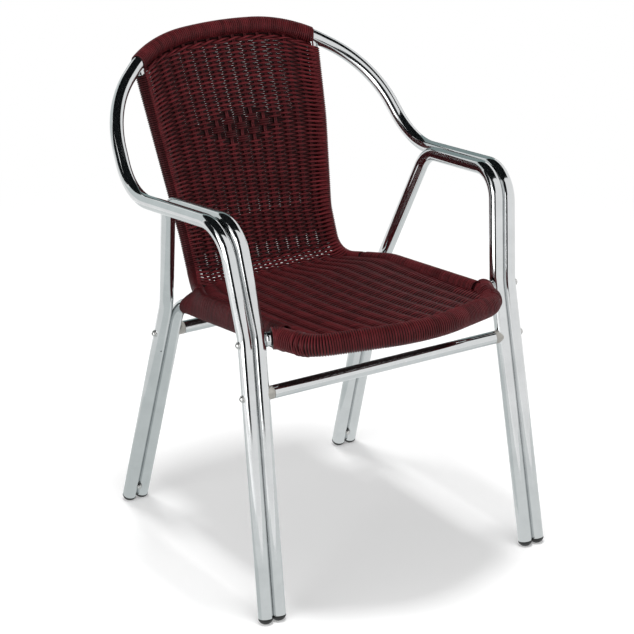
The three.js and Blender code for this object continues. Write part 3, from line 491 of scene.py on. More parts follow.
def lathe_parts(profile, base, axis, sides=LATHE_SIDES):
    """A turned piece from (radius, height) along an axis, where a third value HEXAGONAL gives a hexagon."""
    axis = unit(axis)
    e1 = unit(np.cross(helper_axis(axis, Z_AXIS, X_AXIS), axis))
    e2 = np.cross(axis, e1)
    a = np.linspace(0, 2 * math.pi, sides, endpoint=False)
    sixth = math.pi / 3
    hexagon = math.cos(sixth / 2) / np.cos((a % sixth) - sixth / 2)
    spokes = e1 * np.cos(a)[:, None] + e2 * np.sin(a)[:, None]
    rings = []
    for r, h, *shape in profile:
        radii = r * (hexagon if HEXAGONAL in shape else np.ones(sides))
        rings.append(base + axis * h + radii[:, None] * spokes)
    return [(np.array(rings), 1.0)]


# Materials
class Tree:
    """A node tree with short ways to add nodes. Each way returns the new node's output."""

    def __init__(self, node_tree):
        self.nodes = node_tree.nodes
        self.links = node_tree.links

    def set(self, node, inputs):
        """Gives a node's sockets their constants, or links another node's output to them."""
        for key, value in inputs.items():
            if isinstance(value, bpy.types.NodeSocket):
                self.links.new(value, node.inputs[key])
            else:
                node.inputs[key].default_value = value

    def add(self, kind, inputs, output=0, **settings):
        node = self.nodes.new(kind)
        for name, value in settings.items():
            setattr(node, name, value)
        self.set(node, inputs)
        return node.outputs[output]

    def coords(self):
        return self.add("ShaderNodeTexCoord", {}, "Object")

    def noise(self, scale, detail=3.0, roughness=0.55):
        inputs = {"Vector": self.coords(), "Scale": scale, "Detail": detail, "Roughness": roughness}
        return self.add("ShaderNodeTexNoise", inputs, "Fac")

    def ramp(self, value, low, high):
        """A ramp between two (position, colour) stops."""
        node = self.nodes.new("ShaderNodeValToRGB")
        for element, (position, colour) in zip(node.color_ramp.elements, (low, high)):
            element.position = position
            element.color = (*colour, 1)
        self.set(node, {"Fac": value})
        return node.outputs["Color"]

    def bump(self, height, strength, distance):
        inputs = {"Height": height, "Strength": strength, "Distance": distance}
        return self.add("ShaderNodeBump", inputs, "Normal")

    def multiply(self, a, b, factor=1.0):
        """The product of two colours. A mix node has its colours at sockets 6, 7 and 2."""
        inputs = {0: factor, 6: a, 7: b}
        return self.add("ShaderNodeMix", inputs, 2, data_type="RGBA", blend_type="MULTIPLY")

    def mix_shaders(self, factor, a, b):
        return self.add("ShaderNodeMixShader", {0: factor, 1: a, 2: b})

    def glow(self, kind, strength, colour=(1, 1, 1)):
        return self.add(kind, {"Color": (*colour, 1), "Strength": strength})

    def shown_ray(self):
        """1 on a ray from the camera, or one that leaves a polished or clear surface."""
        path = self.nodes.new("ShaderNodeLightPath")
        total = path.outputs["Is Camera Ray"]
        for ray in ("Is Glossy Ray", "Is Transmission Ray"):
            total = self.add("ShaderNodeMath", {0: total, 1: path.outputs[ray]}, operation="MAXIMUM")
        return total


def new_material(name):
    material = bpy.data.materials.new(name)
    material.use_nodes = True
    tree = Tree(material.node_tree)
    return material, tree, tree.nodes["Principled BSDF"]


def grey(v):
    return (v, v, v)


CANE_DARK = (0.104, 0.0125, 0.0155)
CANE_LIGHT = (0.156, 0.0186, 0.0232)
CANE_SHEEN = (1.0, 0.62, 0.64)
ALUMINIUM_DARK = (0.62, 0.635, 0.64)
ALUMINIUM_LIGHT = (0.69, 0.705, 0.71)
STEEL_DARK = (0.50, 0.50, 0.49)
STEEL_LIGHT = (0.66, 0.66, 0.65)
RUBBER_DARK = (0.006, 0.006, 0.006)
RUBBER_LIGHT = (0.016, 0.016, 0.016)
FERRULE_DARK = (0.40, 0.39, 0.36)
FERRULE_LIGHT = (0.50, 0.485, 0.45)
MOULDED_SPREAD = 0.08


def wicker_material():
    """Extruded plastic cane: burgundy with darker streaks and a soft sheen, darkened by each vertex's tone,
    which holds random tone and painted shade.
    """
    material, tree, shader = new_material("wicker")
    patches = tree.noise(scale=60.0)
    streaks = tree.noise(scale=700.0, detail=4.0, roughness=0.65)
    tone = tree.add("ShaderNodeAttribute", {}, "Fac", attribute_name="tone")
    base = tree.ramp(patches, (0.30, CANE_DARK), (0.70, CANE_LIGHT))
    # The tone darkens the colour: random tone per strand and turn, and painted shade in crevices, behind
    # stakes and in the cores
    tone_and_painted_shade = tree.ramp(tone, (0.0, grey(0.03)), (1.0, grey(1.0)))
    fine = tree.ramp(streaks, (0.25, grey(0.75)), (0.65, grey(1.0)))
    tree.set(shader, {
        "Base Color": tree.multiply(tree.multiply(base, tone_and_painted_shade), fine, factor=0.7),
        "Roughness": tree.ramp(streaks, (0.2, grey(0.34)), (0.8, grey(0.50))),
        "Specular IOR Level": 0.26,
        "Specular Tint": (*CANE_SHEEN, 1),
        "Normal": tree.bump(streaks, strength=0.35, distance=0.0002),
    })
    return material


def aluminium_material():
    """Polished aluminium tube: bright, with faint drawing marks and smears."""
    material, tree, shader = new_material("polished_aluminium")
    smears = tree.noise(scale=25.0, detail=5.0, roughness=0.6)
    marks = tree.noise(scale=900.0, detail=2.0, roughness=0.5)
    tree.set(shader, {
        "Base Color": tree.ramp(smears, (0.3, ALUMINIUM_DARK), (0.7, ALUMINIUM_LIGHT)),
        "Metallic": 1.0,
        "Roughness": tree.ramp(smears, (0.3, grey(0.06)), (0.75, grey(0.12))),
        "Normal": tree.bump(marks, strength=0.05, distance=0.00005),
    })
    return material


def steel_material():
    """Bright screws and bolts with a fine grain, duller than the tube."""
    material, tree, shader = new_material("fastener_steel")
    grain = tree.noise(scale=400.0, detail=4.0, roughness=0.6)
    tree.set(shader, {
        "Base Color": tree.ramp(grain, (0.3, STEEL_DARK), (0.7, STEEL_LIGHT)),
        "Metallic": 1.0,
        "Roughness": tree.ramp(grain, (0.3, grey(0.22)), (0.7, grey(0.38))),
        "Normal": tree.bump(grain, strength=0.1, distance=0.0001),
    })
    return material


def moulded_material(name, dark, light, rough):
    """Moulded plastic or rubber with a fine matt grain."""
    material, tree, shader = new_material(name)
    patches = tree.noise(scale=90.0)
    grain = tree.noise(scale=1500.0, detail=3.0, roughness=0.6)
    smooth = grey(rough - MOULDED_SPREAD)
    matt = grey(rough + MOULDED_SPREAD)
    tree.set(shader, {
        "Base Color": tree.ramp(patches, (0.3, dark), (0.7, light)),
        "Roughness": tree.ramp(grain, (0.3, smooth), (0.7, matt)),
        "Normal": tree.bump(grain, strength=0.25, distance=0.0002),
    })
    return material


materials = {
    "wicker": wicker_material(),
    "polished_aluminium": aluminium_material(),
    "fastener_steel": steel_material(),
    "foot_rubber": moulded_material("foot_rubber", RUBBER_DARK, RUBBER_LIGHT, rough=0.55),
    "ferrule_plastic": moulded_material("ferrule_plastic", FERRULE_DARK, FERRULE_LIGHT, rough=0.5),
}

# Angles in degrees past which an edge is sharp
STEEL_SHARP = 35
MOULDED_SHARP = 40
TUBE_END_SHARP = 50


# Frame tubes
def at_height(path, z, start=0.0):
    return path.at(path.find(2, z, start))


FOOT_TUBE_START = 0.009
arch_tube = tube_parts(arch_path, FOOT_TUBE_START, arch_path.length - FOOT_TUBE_START, TUBE_R)
add_piece("arch_tube_polished", arch_tube, "polished_aluminium", ["arch_tube"])
side_tube = tube_parts(side_path, FOOT_TUBE_START, side_path.length - FOOT_TUBE_START, TUBE_R)
seat_rail = tube_parts(rail_path, FOOT_TUBE_START, rail_path.length - TUBE_R, TUBE_R)
border_rod = tube_parts(border_path, ROD_START, border_path.length - BAR_WRAP_R, BORDER_R, ROD_SIDES)
add_pairs(
    "polished_aluminium",
    ("side_tube_polished", "side_tube", side_tube),
    ("seat_rail_polished", "seat_rail", seat_rail),
    ("border_rod_bare", "border_rod", border_rod),
)
bar_inset = TUBE_R - BAR_SINK
front_bar = tube_parts(bar_path, bar_inset, bar_path.length - bar_inset, TUBE_R)
add_piece("front_bar_polished", front_bar, "polished_aluminium", ["front_bar"])

# Bolt lines across the legs, as (inner x, outer x, y, z)
lower_inner = at_height(side_path, FRONT_STRETCHER_Z)
lower_outer_x = at_height(arch_path, FRONT_STRETCHER_Z)[0]
rear_inner_x = at_height(rail_path, REAR_STRETCHER_Z)[0]
rear_outer_x = at_height(side_path, REAR_STRETCHER_Z, side_path.length / 2)[0]
bolt_lines = {
    "front_upper": (bar_end[0], at_height(arch_path, BAR_END_Z)[0], bar_end[1], BAR_END_Z),
    "front_lower": (lower_inner[0], lower_outer_x, lower_inner[1], FRONT_STRETCHER_Z),
    "rear": (rear_inner_x, rear_outer_x, rear_line_y, REAR_STRETCHER_Z),
}
WASHER_T = 0.0014
WASHER_R = 0.0062
WASHER_SINK = 0.002
WASHER_CHAMFER = 0.0004
CHAMFER_STEPS = 5


def chamfered(radius, length, chamfer, start=0.0):
    """Profile of a round bar with rounded rims."""
    inner = radius - chamfer
    low = start + chamfer
    high = start + length - chamfer
    angles = np.linspace(0, math.pi / 2, CHAMFER_STEPS)
    rear = [(inner + chamfer * math.sin(a), low - chamfer * math.cos(a)) for a in angles]
    return rear + [(inner + chamfer * math.cos(a), high + chamfer * math.sin(a)) for a in angles]


BOLT_SHANK_R = 0.003
BOLT_SHANK_SINK = 0.004
BOLT_HEAD_R = 0.0048
BOLT_HEAD_H = 0.0034
BOLT_RIM_H = 0.0008
DOME_ANGLES = (15, 30, 45, 60)
DOME_FULLNESS = 0.8
SOCKET_MOUTH_R = 0.0026
SOCKET_R = 0.0023
SOCKET_CHAMFER = 0.0001
SOCKET_FLOOR = 0.0014
SOCKET_TIP_R = 0.0006
SOCKET_TIP = 0.0010


def bolt_profile():
    """A button head with a hexagonal socket, and the start of the shank."""
    profile = [(BOLT_SHANK_R, -BOLT_SHANK_SINK), (BOLT_HEAD_R, 0.0), (BOLT_HEAD_R, BOLT_RIM_H)]
    for a in np.radians(DOME_ANGLES):
        height = BOLT_RIM_H + (BOLT_HEAD_H - BOLT_RIM_H) * math.sin(a)
        profile.append((BOLT_HEAD_R * math.cos(a) ** DOME_FULLNESS, height))
    return profile + [
        (SOCKET_MOUTH_R, BOLT_HEAD_H, HEXAGONAL),
        (SOCKET_R, BOLT_HEAD_H - SOCKET_CHAMFER, HEXAGONAL),
        (SOCKET_R, SOCKET_FLOOR, HEXAGONAL),
        (SOCKET_TIP_R, SOCKET_TIP, HEXAGONAL),
    ]


washer_profile = chamfered(WASHER_R, WASHER_T + WASHER_SINK, WASHER_CHAMFER, start=-WASHER_SINK)
for line_name, (inner_x, outer_x, y, z) in bolt_lines.items():
    washer = lathe_parts(washer_profile, vec(outer_x + TUBE_R, y, z), X_AXIS)
    head = lathe_parts(bolt_profile(), vec(outer_x + TUBE_R + WASHER_T, y, z), X_AXIS)
    add_pairs(
        "fastener_steel",
        (f"bolt_head_{line_name}", f"bolt_{line_name}", head),
        (f"washer_disc_{line_name}", f"washer_{line_name}", washer),
        sharp_angle=STEEL_SHARP,
    )

# Stretchers and the ferrules at their ends
FERRULE_LENGTH = 0.0065
FERRULE_CHAMFER = 0.0006
FERRULE_GAP = 0.0003
STRETCHER_RINGS = 41
for end_name, line_name in (("front", "front_lower"), ("rear", "rear")):
    inner_x, _, y, z = bolt_lines[line_name]
    collar_x = inner_x - TUBE_R - FERRULE_LENGTH
    end = collar_x - FERRULE_GAP
    profile = [(STRETCHER_R, x) for x in np.linspace(-end, end, STRETCHER_RINGS)]
    stretcher = lathe_parts(profile, vec(0, y, z), X_AXIS, TUBE_SIDES)
    name = f"{end_name}_stretcher"
    add_piece(f"{name}_polished", stretcher, "polished_aluminium", [name], TUBE_END_SHARP)
    profile = chamfered(STRETCHER_R, FERRULE_LENGTH + TUBE_R, FERRULE_CHAMFER)
    collar = lathe_parts(profile, vec(collar_x, y, z), X_AXIS)
    name = f"ferrule_{end_name}"
    add_pairs("ferrule_plastic", (f"{name}_collar", name, collar), sharp_angle=MOULDED_SHARP)

# Drain holes in the front of the rear legs: only their dark mouths show, drawn as shallow discs of the dark
# foot rubber, painted shade for the hole's inside
DRAIN_R = 0.0013
DRAIN_INSET = 0.0004
DRAIN_LIP = 0.00012
DRAIN_TIP_R = 0.0002
DRAIN_SIDES = 24
straight_ahead = vec(0, -1, 0)
drain_line = at_height(side_path, DRAIN_Z, side_path.length / 2)
leg_run = unit(at_height(side_path, DRAIN_Z - DRAIN_R, side_path.length / 2) - drain_line)
leg_front = unit(straight_ahead - leg_run * (leg_run @ straight_ahead))
drain_mouth = drain_line + straight_ahead * TUBE_R / (leg_front @ straight_ahead)
drain_profile = [
    (DRAIN_TIP_R, -DRAIN_INSET),
    (DRAIN_R, -DRAIN_INSET),
    (DRAIN_R, DRAIN_LIP),
    (DRAIN_TIP_R, DRAIN_LIP),
]
drain = lathe_parts(drain_profile, drain_mouth, leg_front, DRAIN_SIDES)
# Painted shade: the dark foot rubber stands in for the shade inside each hole
add_pairs("foot_rubber", ("drain_mouth", None, drain), sharp_angle=STEEL_SHARP)

# Feet
CAP_DOME_R = 0.013
CAP_WEAR = 0.0015
CAP_TIP_ANGLE = 0.03
CAP_DOME_RINGS = 14
CAP_RIM = 0.0025
CAP_RIM_PROUD = 0.0002
CAP_RIM_EDGE = 0.0004
CAP_TOP_INSET = 0.0003
CAP_PLUG_INSET = 0.0025
CAP_PLUG_H = 0.008
LEG_PROBE = 0.02


def foot_parts(foot, up):
    """A domed cap with a rim round the tube's end and a plug inside it, worn flat where it stands."""
    centre = foot + up * (CAP_DOME_R - CAP_WEAR) / up[2]
    rim_angle = math.asin(TUBE_R / CAP_DOME_R)
    shoulder = -CAP_DOME_R * math.cos(rim_angle)
    top = shoulder + CAP_RIM
    profile = []
    for a in np.linspace(CAP_TIP_ANGLE, rim_angle, CAP_DOME_RINGS):
        profile.append((CAP_DOME_R * math.sin(a), -CAP_DOME_R * math.cos(a)))
    profile += [
        (TUBE_R + CAP_RIM_PROUD, shoulder + CAP_RIM_EDGE),
        (TUBE_R + CAP_RIM_PROUD, top - CAP_RIM_EDGE),
        (TUBE_R - CAP_TOP_INSET, top),
        (TUBE_R - CAP_PLUG_INSET, top),
        (TUBE_R - CAP_PLUG_INSET, top + CAP_PLUG_H),
    ]
    [(rings, tone)] = lathe_parts(profile, centre, up)
    rings[..., 2] = np.maximum(rings[..., 2], 0.0)
    return [(rings, tone)]


feet = {
    "front_outer": (arch_path, 0.0, 1),
    "front_inner": (side_path, 0.0, 1),
    "rear_outer": (side_path, side_path.length, -1),
    "rear_inner": (rail_path, 0.0, 1),
}
for foot_name, (path, s, direction) in feet.items():
    foot = path.at(s)
    cap = foot_parts(foot, unit(path.at(s + direction * LEG_PROBE) - foot))
    pair = (f"foot_cap_{foot_name}", f"foot_{foot_name}", cap)
    add_pairs("foot_rubber", pair, sharp_angle=MOULDED_SHARP)

# Tie screws at the seam of the rear legs: a pan head in front, a shank, and a hexagonal nut behind
TIE_Z = 0.026
TIE_HEAD_H = 0.003
TIE_SHANK_R = 0.002
TIE_NUT_R = 0.004
TIE_NUT_T = 0.0034
TIE_SIDES = 36
TIE_HEAD = [(0.0006, -TIE_HEAD_H), (0.0024, -0.0029), (0.0036, -0.0022), (0.0043, -0.0012), (0.0043, 0.0)]
tie_low, tie_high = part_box("tie_screw_right")
tie_front = vec((tie_low.x + tie_high.x) / 2, tie_low.y - SHIFT[1] + TIE_HEAD_H, TIE_Z)
tie_length = tie_high.y - tie_low.y - TIE_HEAD_H
tie_profile = TIE_HEAD + [
    (TIE_SHANK_R, 0.0),
    (TIE_SHANK_R, tie_length - TIE_NUT_T),
    (TIE_NUT_R, tie_length - TIE_NUT_T, HEXAGONAL),
    (TIE_NUT_R, tie_length, HEXAGONAL),
]
tie = lathe_parts(tie_profile, tie_front, vec(0, 1, 0), TIE_SIDES)
add_pairs("fastener_steel", ("tie_screw_turned", "tie_screw", tie), sharp_angle=STEEL_SHARP)

# The hidden inserts keep their solids, with a detailed finish
for name in ("bar_insert_right", "bar_insert_left"):
    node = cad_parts[name]
    node.data.materials.clear()
    node.data.materials.append(materials["fastener_steel"])

# Woven surface: across runs from -1 on the left border rod to 1 on the right, along runs down it
SPANS = STAKES_EACH_SIDE + 1
CROSSINGS = range(-SPANS, SPANS + 1)
ROW_ACROSS = np.linspace(-1, 1, 2 * SPANS * SPAN_STEPS + 1)
back_flat_s = border_path.pieces[0][1]
seat_flat_s = border_path.find(1, BORDER_MEET_Y, border_path.length / 3)
seat_run = BORDER_MEET_Y - BAR_CORNER_Y
surface_end = seat_flat_s + seat_run
corner = border_path.at(back_flat_s)


def profile_by_x(path, reach, start):
    """Rows of a path that crosses the middle, in order of X."""
    near = np.abs(path.table[:, 0]) <= reach + TABLE_MARGIN
    rows = path.table[near & (path.table_s >= start) & (path.table_s <= path.length - start)]
    return rows[np.argsort(rows[:, 0])]


arch_rows = profile_by_x(arch_path, BORDER_TOP_X, arch_path.length / 4)
bar_rows = profile_by_x(bar_path, RAIL_FRONT[0], 0.0)


def at_x(rows, x):
    return interp_rows(x, rows[:, 0], rows)


def surface(across, along):
    across, along = np.broadcast_arrays(np.asarray(across, float), np.asarray(along, float))
    spread = np.stack([across, np.ones_like(across), np.ones_like(across)], axis=-1)
    flat = border_path.at(np.minimum(along, seat_flat_s)) * spread
    top = at_x(arch_rows, BORDER_TOP_X * across)
    upper = lerp(top, corner * spread, np.clip(along / back_flat_s, 0, 1)[..., None])
    share = np.clip((along - seat_flat_s) / seat_run, 0, 1)
    front = at_x(bar_rows, RAIL_FRONT[0] * across) + vec(0, 0, BAR_RISE)
    seat = lerp(flat, front, share[..., None])
    seat[..., 2] -= SEAT_SAG * np.sin(math.pi * share) * (1 - across ** 2)
    out = np.where((along < back_flat_s)[..., None], upper, flat)
    return np.where((along > seat_flat_s)[..., None], seat, out)


def surface_normal(across, along):
    a = np.clip(across, PROBE_SHARE - 1, 1 - PROBE_SHARE)
    s = np.clip(along, PROBE, surface_end - PROBE)
    side = surface(a + PROBE_SHARE, s) - surface(a - PROBE_SHARE, s)
    down = surface(a, s + PROBE) - surface(a, s - PROBE)
    return unit(np.cross(down, side))


# Places of the rows
heel_s = border_path.table_s[int(np.argmin(border_path.table[:, 2]))]
on_back = (border_path.table_s >= back_flat_s) & (border_path.table_s <= heel_s)
back_table = border_path.table[on_back]
back_table_s = border_path.table_s[on_back]
split_s = border_path.find(1, SPLIT_Y, border_path.length / 4)


def row_line(across, along):
    """Where a row runs, as lengths down the surface. Rows follow the arch near it and level out below."""
    border_z = border_path.at(along)[2]
    follow = (border_z - LEVEL_ROW_Z) / (border_top[2] - LEVEL_ROW_Z)
    if along > heel_s or follow <= 0:
        return np.full_like(across, along)
    arch_z = at_x(arch_rows, BORDER_TOP_X * across)[:, 2]
    target = border_z + follow * (arch_z - border_top[2])
    upper = back_flat_s * (arch_z - target) / (arch_z - corner[2])
    lower = np.interp(-target, -back_table[:, 2], back_table_s)
    return np.where(target > corner[2], upper, lower)


def back_row_places():
    """Lengths down the surface of the back's rows, closer together where they follow the arch."""
    places = [ROW_START]
    while places[-1] < split_s:
        above_level = np.clip((border_path.at(places[-1])[2] - LEVEL_ROW_Z) / LEVEL_BLEND, 0, 1)
        places.append(places[-1] + BACK_ROW_PITCH * lerp(1.0, UPPER_PITCH_SHARE, above_level))
    return np.array(places)


back_places = back_row_places()
seat_places = np.arange(back_places[-1] + SEAT_ROW_PITCH, surface_end - BAR_WRAP_R, SEAT_ROW_PITCH)
motif_s = border_path.find(2, MOTIF_Z)
motif_row = int(np.argmin(np.abs(back_places - motif_s)))
lumbar_places = [heel_s - height for height in LUMBAR_HEIGHTS]
seat_shade_places = (split_s - SEAT_SHADE_BLEND, split_s + SEAT_SHADE_BLEND, surface_end)
rng = np.random.default_rng(TONE_SEED)


# Woven rows
def motif_block(k, row, middle_row):
    """Which block of the diamond a crossing belongs to, or None outside it."""
    if middle_row is None:
        return None
    block = (row - middle_row + MOTIF_BLOCK_ROWS // 2) // MOTIF_BLOCK_ROWS
    outside = abs(block) >= MOTIF_REACH or abs(k) + abs(block) > MOTIF_REACH
    return None if outside else block


def weft_side(k, row, middle_row):
    """1 where a row passes in front of a stake and -1 where it passes behind."""
    block = motif_block(k, row, middle_row)
    if block is None:
        return 1 if (k + row) % 2 == 0 else -1
    return -1 if (abs(k) + block) % 2 else 1


def weft_row(row, along, end_offset, middle_row, width_share, tone):
    """A row that swings over and under the stakes, with painted shade where it dives behind them and on the
    motif's floats.
    """
    swings = np.array([weft_side(k, row, middle_row) for k in CROSSINGS], float) * WEFT_SWING
    swings[0] = end_offset
    swings[-1] = end_offset if swings[-2] > 0 else min(end_offset, -WEFT_SWING)
    in_motif = np.array([motif_block(k, row, middle_row) is not None for k in CROSSINGS])
    # Painted shade on the motif's floats, so that its stakes stand out as lit
    motif_shade = np.where(in_motif, MOTIF_FLOAT_SHADE, 1.0)
    place = np.clip((ROW_ACROSS + 1) * SPANS, 0, 2 * SPANS - SAME_PLACE)
    span = place.astype(int)
    share = (1 - np.cos(math.pi * (place - span))) / 2
    offset = lerp(swings[span], swings[span + 1], share)
    run = row_line(ROW_ACROSS, along)
    normal = surface_normal(ROW_ACROSS, run)
    points = surface(ROW_ACROSS, run) + normal * offset[:, None]
    lift = np.clip(offset / WEFT_SWING, -1, 1)
    # Painted shade where the row dives behind a stake, and on the motif's floats
    shown = lerp(BEHIND_STAKE_SHADE, 1, (lift / 2 + 0.5) ** DIVE_POWER)
    shown *= lerp(motif_shade[span], motif_shade[span + 1], share)
    widths = width_share * (1 + np.where(lift > 0, FRONT_SPREAD, REAR_SPREAD) * np.abs(lift))
    return strand(points, normal, WEFT_R, tone * shown, widths)


def weave_parts(places, end_offset, width_share, first_row, middle_row=None):
    """A panel's rows, with painted shade at the rear of the seat, and of varied width round the lumbar
    bend.
    """
    parts = []
    for i, along in enumerate(places):
        # Random tone per row, times painted shade at the rear of the seat
        tone = rng.uniform(*ROW_TONES) * np.interp(along, seat_shade_places, (1.0, SEAT_REAR_SHADE, 1.0))
        width = width_share * np.interp(along, lumbar_places, LUMBAR_WIDTH_SHARES)
        parts.append(weft_row(first_row + i, along, end_offset, middle_row, width, tone))
    return parts


def rim_strand(run, offset, radius, tone):
    """A strand across the back under the arch, at an offset from the surface."""
    normal = surface_normal(ROW_ACROSS, run)
    points = surface(ROW_ACROSS, run) + normal * np.reshape(offset, (-1, 1))
    return strand(points, normal, radius, tone, RIM_WIDTH_SHARE)


def rim_parts():
    """A pair of strands twined round the stakes, and near-black strands behind them up to the arch, painted
    shade under the arch wrap.
    """
    parts = []
    for phase in (0.0, math.pi):
        turn = math.pi * (ROW_ACROSS + 1) * SPANS + phase
        run = row_line(ROW_ACROSS, RIM_S) - RIM_TWIST * np.sin(turn)
        parts.append(rim_strand(run, RIM_SWING * np.cos(turn), RIM_R, 1.0))
    # Painted shade: dark backing strands between the rim and the arch
    for along in BACKING_PLACES:
        run = row_line(ROW_ACROSS, along)
        parts.append(rim_strand(run, -(STAKE_STRAND_R + WEFT_R), WEFT_R, BACKING_SHADE))
    return parts


back_parts = weave_parts(back_places, BORDER_WRAP_R, BACK_WIDTH_SHARE, 0, motif_row)
add_piece("back_weft", back_parts + rim_parts(), "wicker", ["back_weave"])
seat_parts = weave_parts(seat_places, 0.0, SEAT_WIDTH_SHARE, len(back_places))
add_piece("seat_weft", seat_parts, "wicker", ["seat_weave"])


# Stakes
def stake_parts(k):
    """A stake's pair of strands, proud where two rows in turn pass behind them, and darker with painted
    shade where they lie flush.
    """
    along = np.linspace(STAKE_TOP, surface_end - STAKE_STOP, STAKE_RINGS)
    sides = [weft_side(k, row, motif_row) for row in range(len(back_places) + 1)]
    bare = [float(this + following < 0) for this, following in zip(sides, sides[1:])]
    proud = STAKE_PROUD * np.interp(along, back_places, bare)
    across = np.full_like(along, k / SPANS)
    normal = surface_normal(across, along)
    parts = []
    for shift in (-STAKE_STRAND_R, STAKE_STRAND_R):
        points = surface(across, along) + X_AXIS * shift + normal * proud[:, None]
        # Random tone per strand, times painted shade where the stake lies flush
        tones = rng.uniform(*STAKE_TONES) * lerp(FLUSH_STAKE_SHADE, 1.0, proud / STAKE_PROUD)
        parts.append(strand(points, normal, STAKE_STRAND_R, tones, sides=STAKE_SIDES))
    return parts


for k in range(-STAKES_EACH_SIDE, STAKES_EACH_SIDE + 1):
    side = "right" if k > 0 else "left"
    node = "stake_centre" if k == 0 else f"stake_{side}_{abs(k)}"
    add_piece(f"{node}_pair", stake_parts(k), "wicker", [node])


# Wound wraps
def coil_parts(
    path, s0, s1, radius, pitch, strand_r, steps, width_share=1.0, slant=0.0, darkest=WRAP_DARKEST
):
    """A strand wound round a path. With a slant its end turns lean along the path on one side."""
    turns = (s1 - s0) / pitch
    s = np.linspace(s0, s1, int(turns * steps) + 1)
    grid_count = int(round((s1 - s0 + 2 * COIL_MARGIN) / COIL_STEP)) + 1
    grid = np.linspace(s0 - COIL_MARGIN, s1 + COIL_MARGIN, grid_count)
    normals, binormals = carried_frames(path.at(grid))
    n = unit(interp_rows(s, grid, normals))
    b = unit(interp_rows(s, grid, binormals))
    angle = 2 * math.pi * (s - s0) / pitch
    outward = n * np.cos(angle)[:, None] + b * np.sin(angle)[:, None]
    if slant:
        lean = np.clip(1 - (s - s0) / SLANT_REACH, 0, 1) - np.clip(1 - (s1 - s) / SLANT_REACH, 0, 1)
        s = s + slant * lean * (outward @ vec(*SLANT_SIDE))
    by_turn = rng.uniform(darkest, 1.0, int(turns) + 2)
    tones = np.interp(angle / (2 * math.pi), np.arange(len(by_turn)), by_turn)
    return [strand(path.at(s) + outward * radius, outward, strand_r, tones, width_share)]


def core_parts(path, s0, s1, radius, sides):
    """A black core that closes the gaps between a wrap's turns: painted shade in the grooves."""
    return tube_parts(path, s0, s1, radius - WRAP_STRAND_R * CORE_SINK_SHARE, sides, tone=0.0)


def arch_wrap_parts():
    s0 = arch_path.find(0, ARCH_WRAP_X, arch_path.length / 4)
    s1 = arch_path.length - s0
    coil = coil_parts(arch_path, s0, s1, ARCH_WRAP_R, ARCH_WRAP_PITCH, WRAP_STRAND_R, ARCH_TURN_STEPS,
                      ARCH_WIDTH_SHARE, ARCH_WRAP_SLANT)
    core_run = (s0 + ARCH_CORE_INSET, s1 - ARCH_CORE_INSET)
    return coil + core_parts(arch_path, *core_run, ARCH_WRAP_R, ARCH_CORE_SIDES)


def bar_wrap_parts():
    """The front bar's winding, with tucked strands over it near both ends."""
    s0 = bar_path.find(0, BAR_WRAP_X)
    s1 = bar_path.length - s0
    coil_r = BAR_WRAP_R - BAR_STRAND_SINK
    parts = coil_parts(bar_path, s0, s1, coil_r, BAR_WRAP_PITCH, BAR_STRAND_R, BAR_TURN_STEPS)
    for start in TUCK_STARTS:
        for s in (s0 + start, s1 - start - TUCK_LENGTH):
            parts += coil_parts(bar_path, s, s + TUCK_LENGTH, BAR_WRAP_R + TUCK_PROUD, TUCK_LENGTH,
                                BAR_STRAND_R, TUCK_TURN_STEPS)
    return parts + core_parts(bar_path, s0, s1, BAR_WRAP_R, BAR_CORE_SIDES)


def corner_cords():
    """Cords that run down from the arch wrap and under the border wrap's top turns, beside the bare rod."""
    s = np.linspace(*CORNER_CORD_RUN, CORD_RINGS)
    parts = []
    for angle in np.radians(CORNER_CORD_ANGLES):
        outward = np.broadcast_to(vec(-math.cos(angle), -math.sin(angle), 0), (len(s), 3))
        points = border_path.at(s) + outward * (BORDER_R + WRAP_STRAND_R * CORNER_CORD_SEAT_SHARE)
        parts.append(strand(points, outward, WRAP_STRAND_R, CORD_TONE))
    return parts


def border_wrap_parts():
    s0 = BORDER_WRAP_TOP
    s1 = border_path.find(1, ROLL_REAR_Y, border_path.length / 4) - BORDER_WRAP_STOP
    coil = coil_parts(border_path, s0, s1, BORDER_WRAP_R, BORDER_WRAP_PITCH, WRAP_STRAND_R,
                      BORDER_TURN_STEPS, BORDER_WIDTH_SHARE, darkest=BORDER_DARKEST)
    return coil + corner_cords() + core_parts(border_path, s0, s1, BORDER_WRAP_R, BORDER_CORE_SIDES)


# Seat sides: one winding round the seat rail and the border rod together
def roll_outline(rail_c, border_c, angle, rail_r, border_r):
    """Points of a rounded outline round both tubes, from how far it reaches in each direction."""
    middle = (rail_c + border_c) / 2
    half = rail_c - middle
    level = np.zeros_like(angle)
    direction = np.stack([np.cos(angle), level, np.sin(angle)], axis=-1)
    turned = np.stack([-np.sin(angle), level, np.cos(angle)], axis=-1)
    to_rail = (rail_r + direction @ half) / ROLL_ROUNDING
    to_border = (border_r - direction @ half) / ROLL_ROUNDING
    reach = ROLL_ROUNDING * np.logaddexp(to_rail, to_border)
    rail_share = 1 / (1 + np.exp(to_border - to_rail))
    slope = (2 * rail_share - 1) * (turned @ half)
    return middle + direction * reach[:, None] + turned * slope[:, None]


def roll_loop(y, rail_r, border_r):
    """Points spaced evenly round the outline at one place along the seat, starting on top."""
    rail_c = rail_path.at(rail_path.find(1, y, rail_path.length / 3))
    border_c = border_path.at(border_path.find(1, y, border_path.length / 3))
    angles = np.linspace(0, 2 * math.pi, ROLL_OUTLINE_POINTS) + math.pi / 2
    fine = roll_outline(rail_c, border_c, angles, rail_r, border_r)
    run = np.concatenate([[0], np.cumsum(np.linalg.norm(np.diff(fine, axis=0), axis=1))])
    even = np.linspace(0, run[-1], ROLL_TURN_STEPS, endpoint=False)
    return interp_rows(even, run, fine)


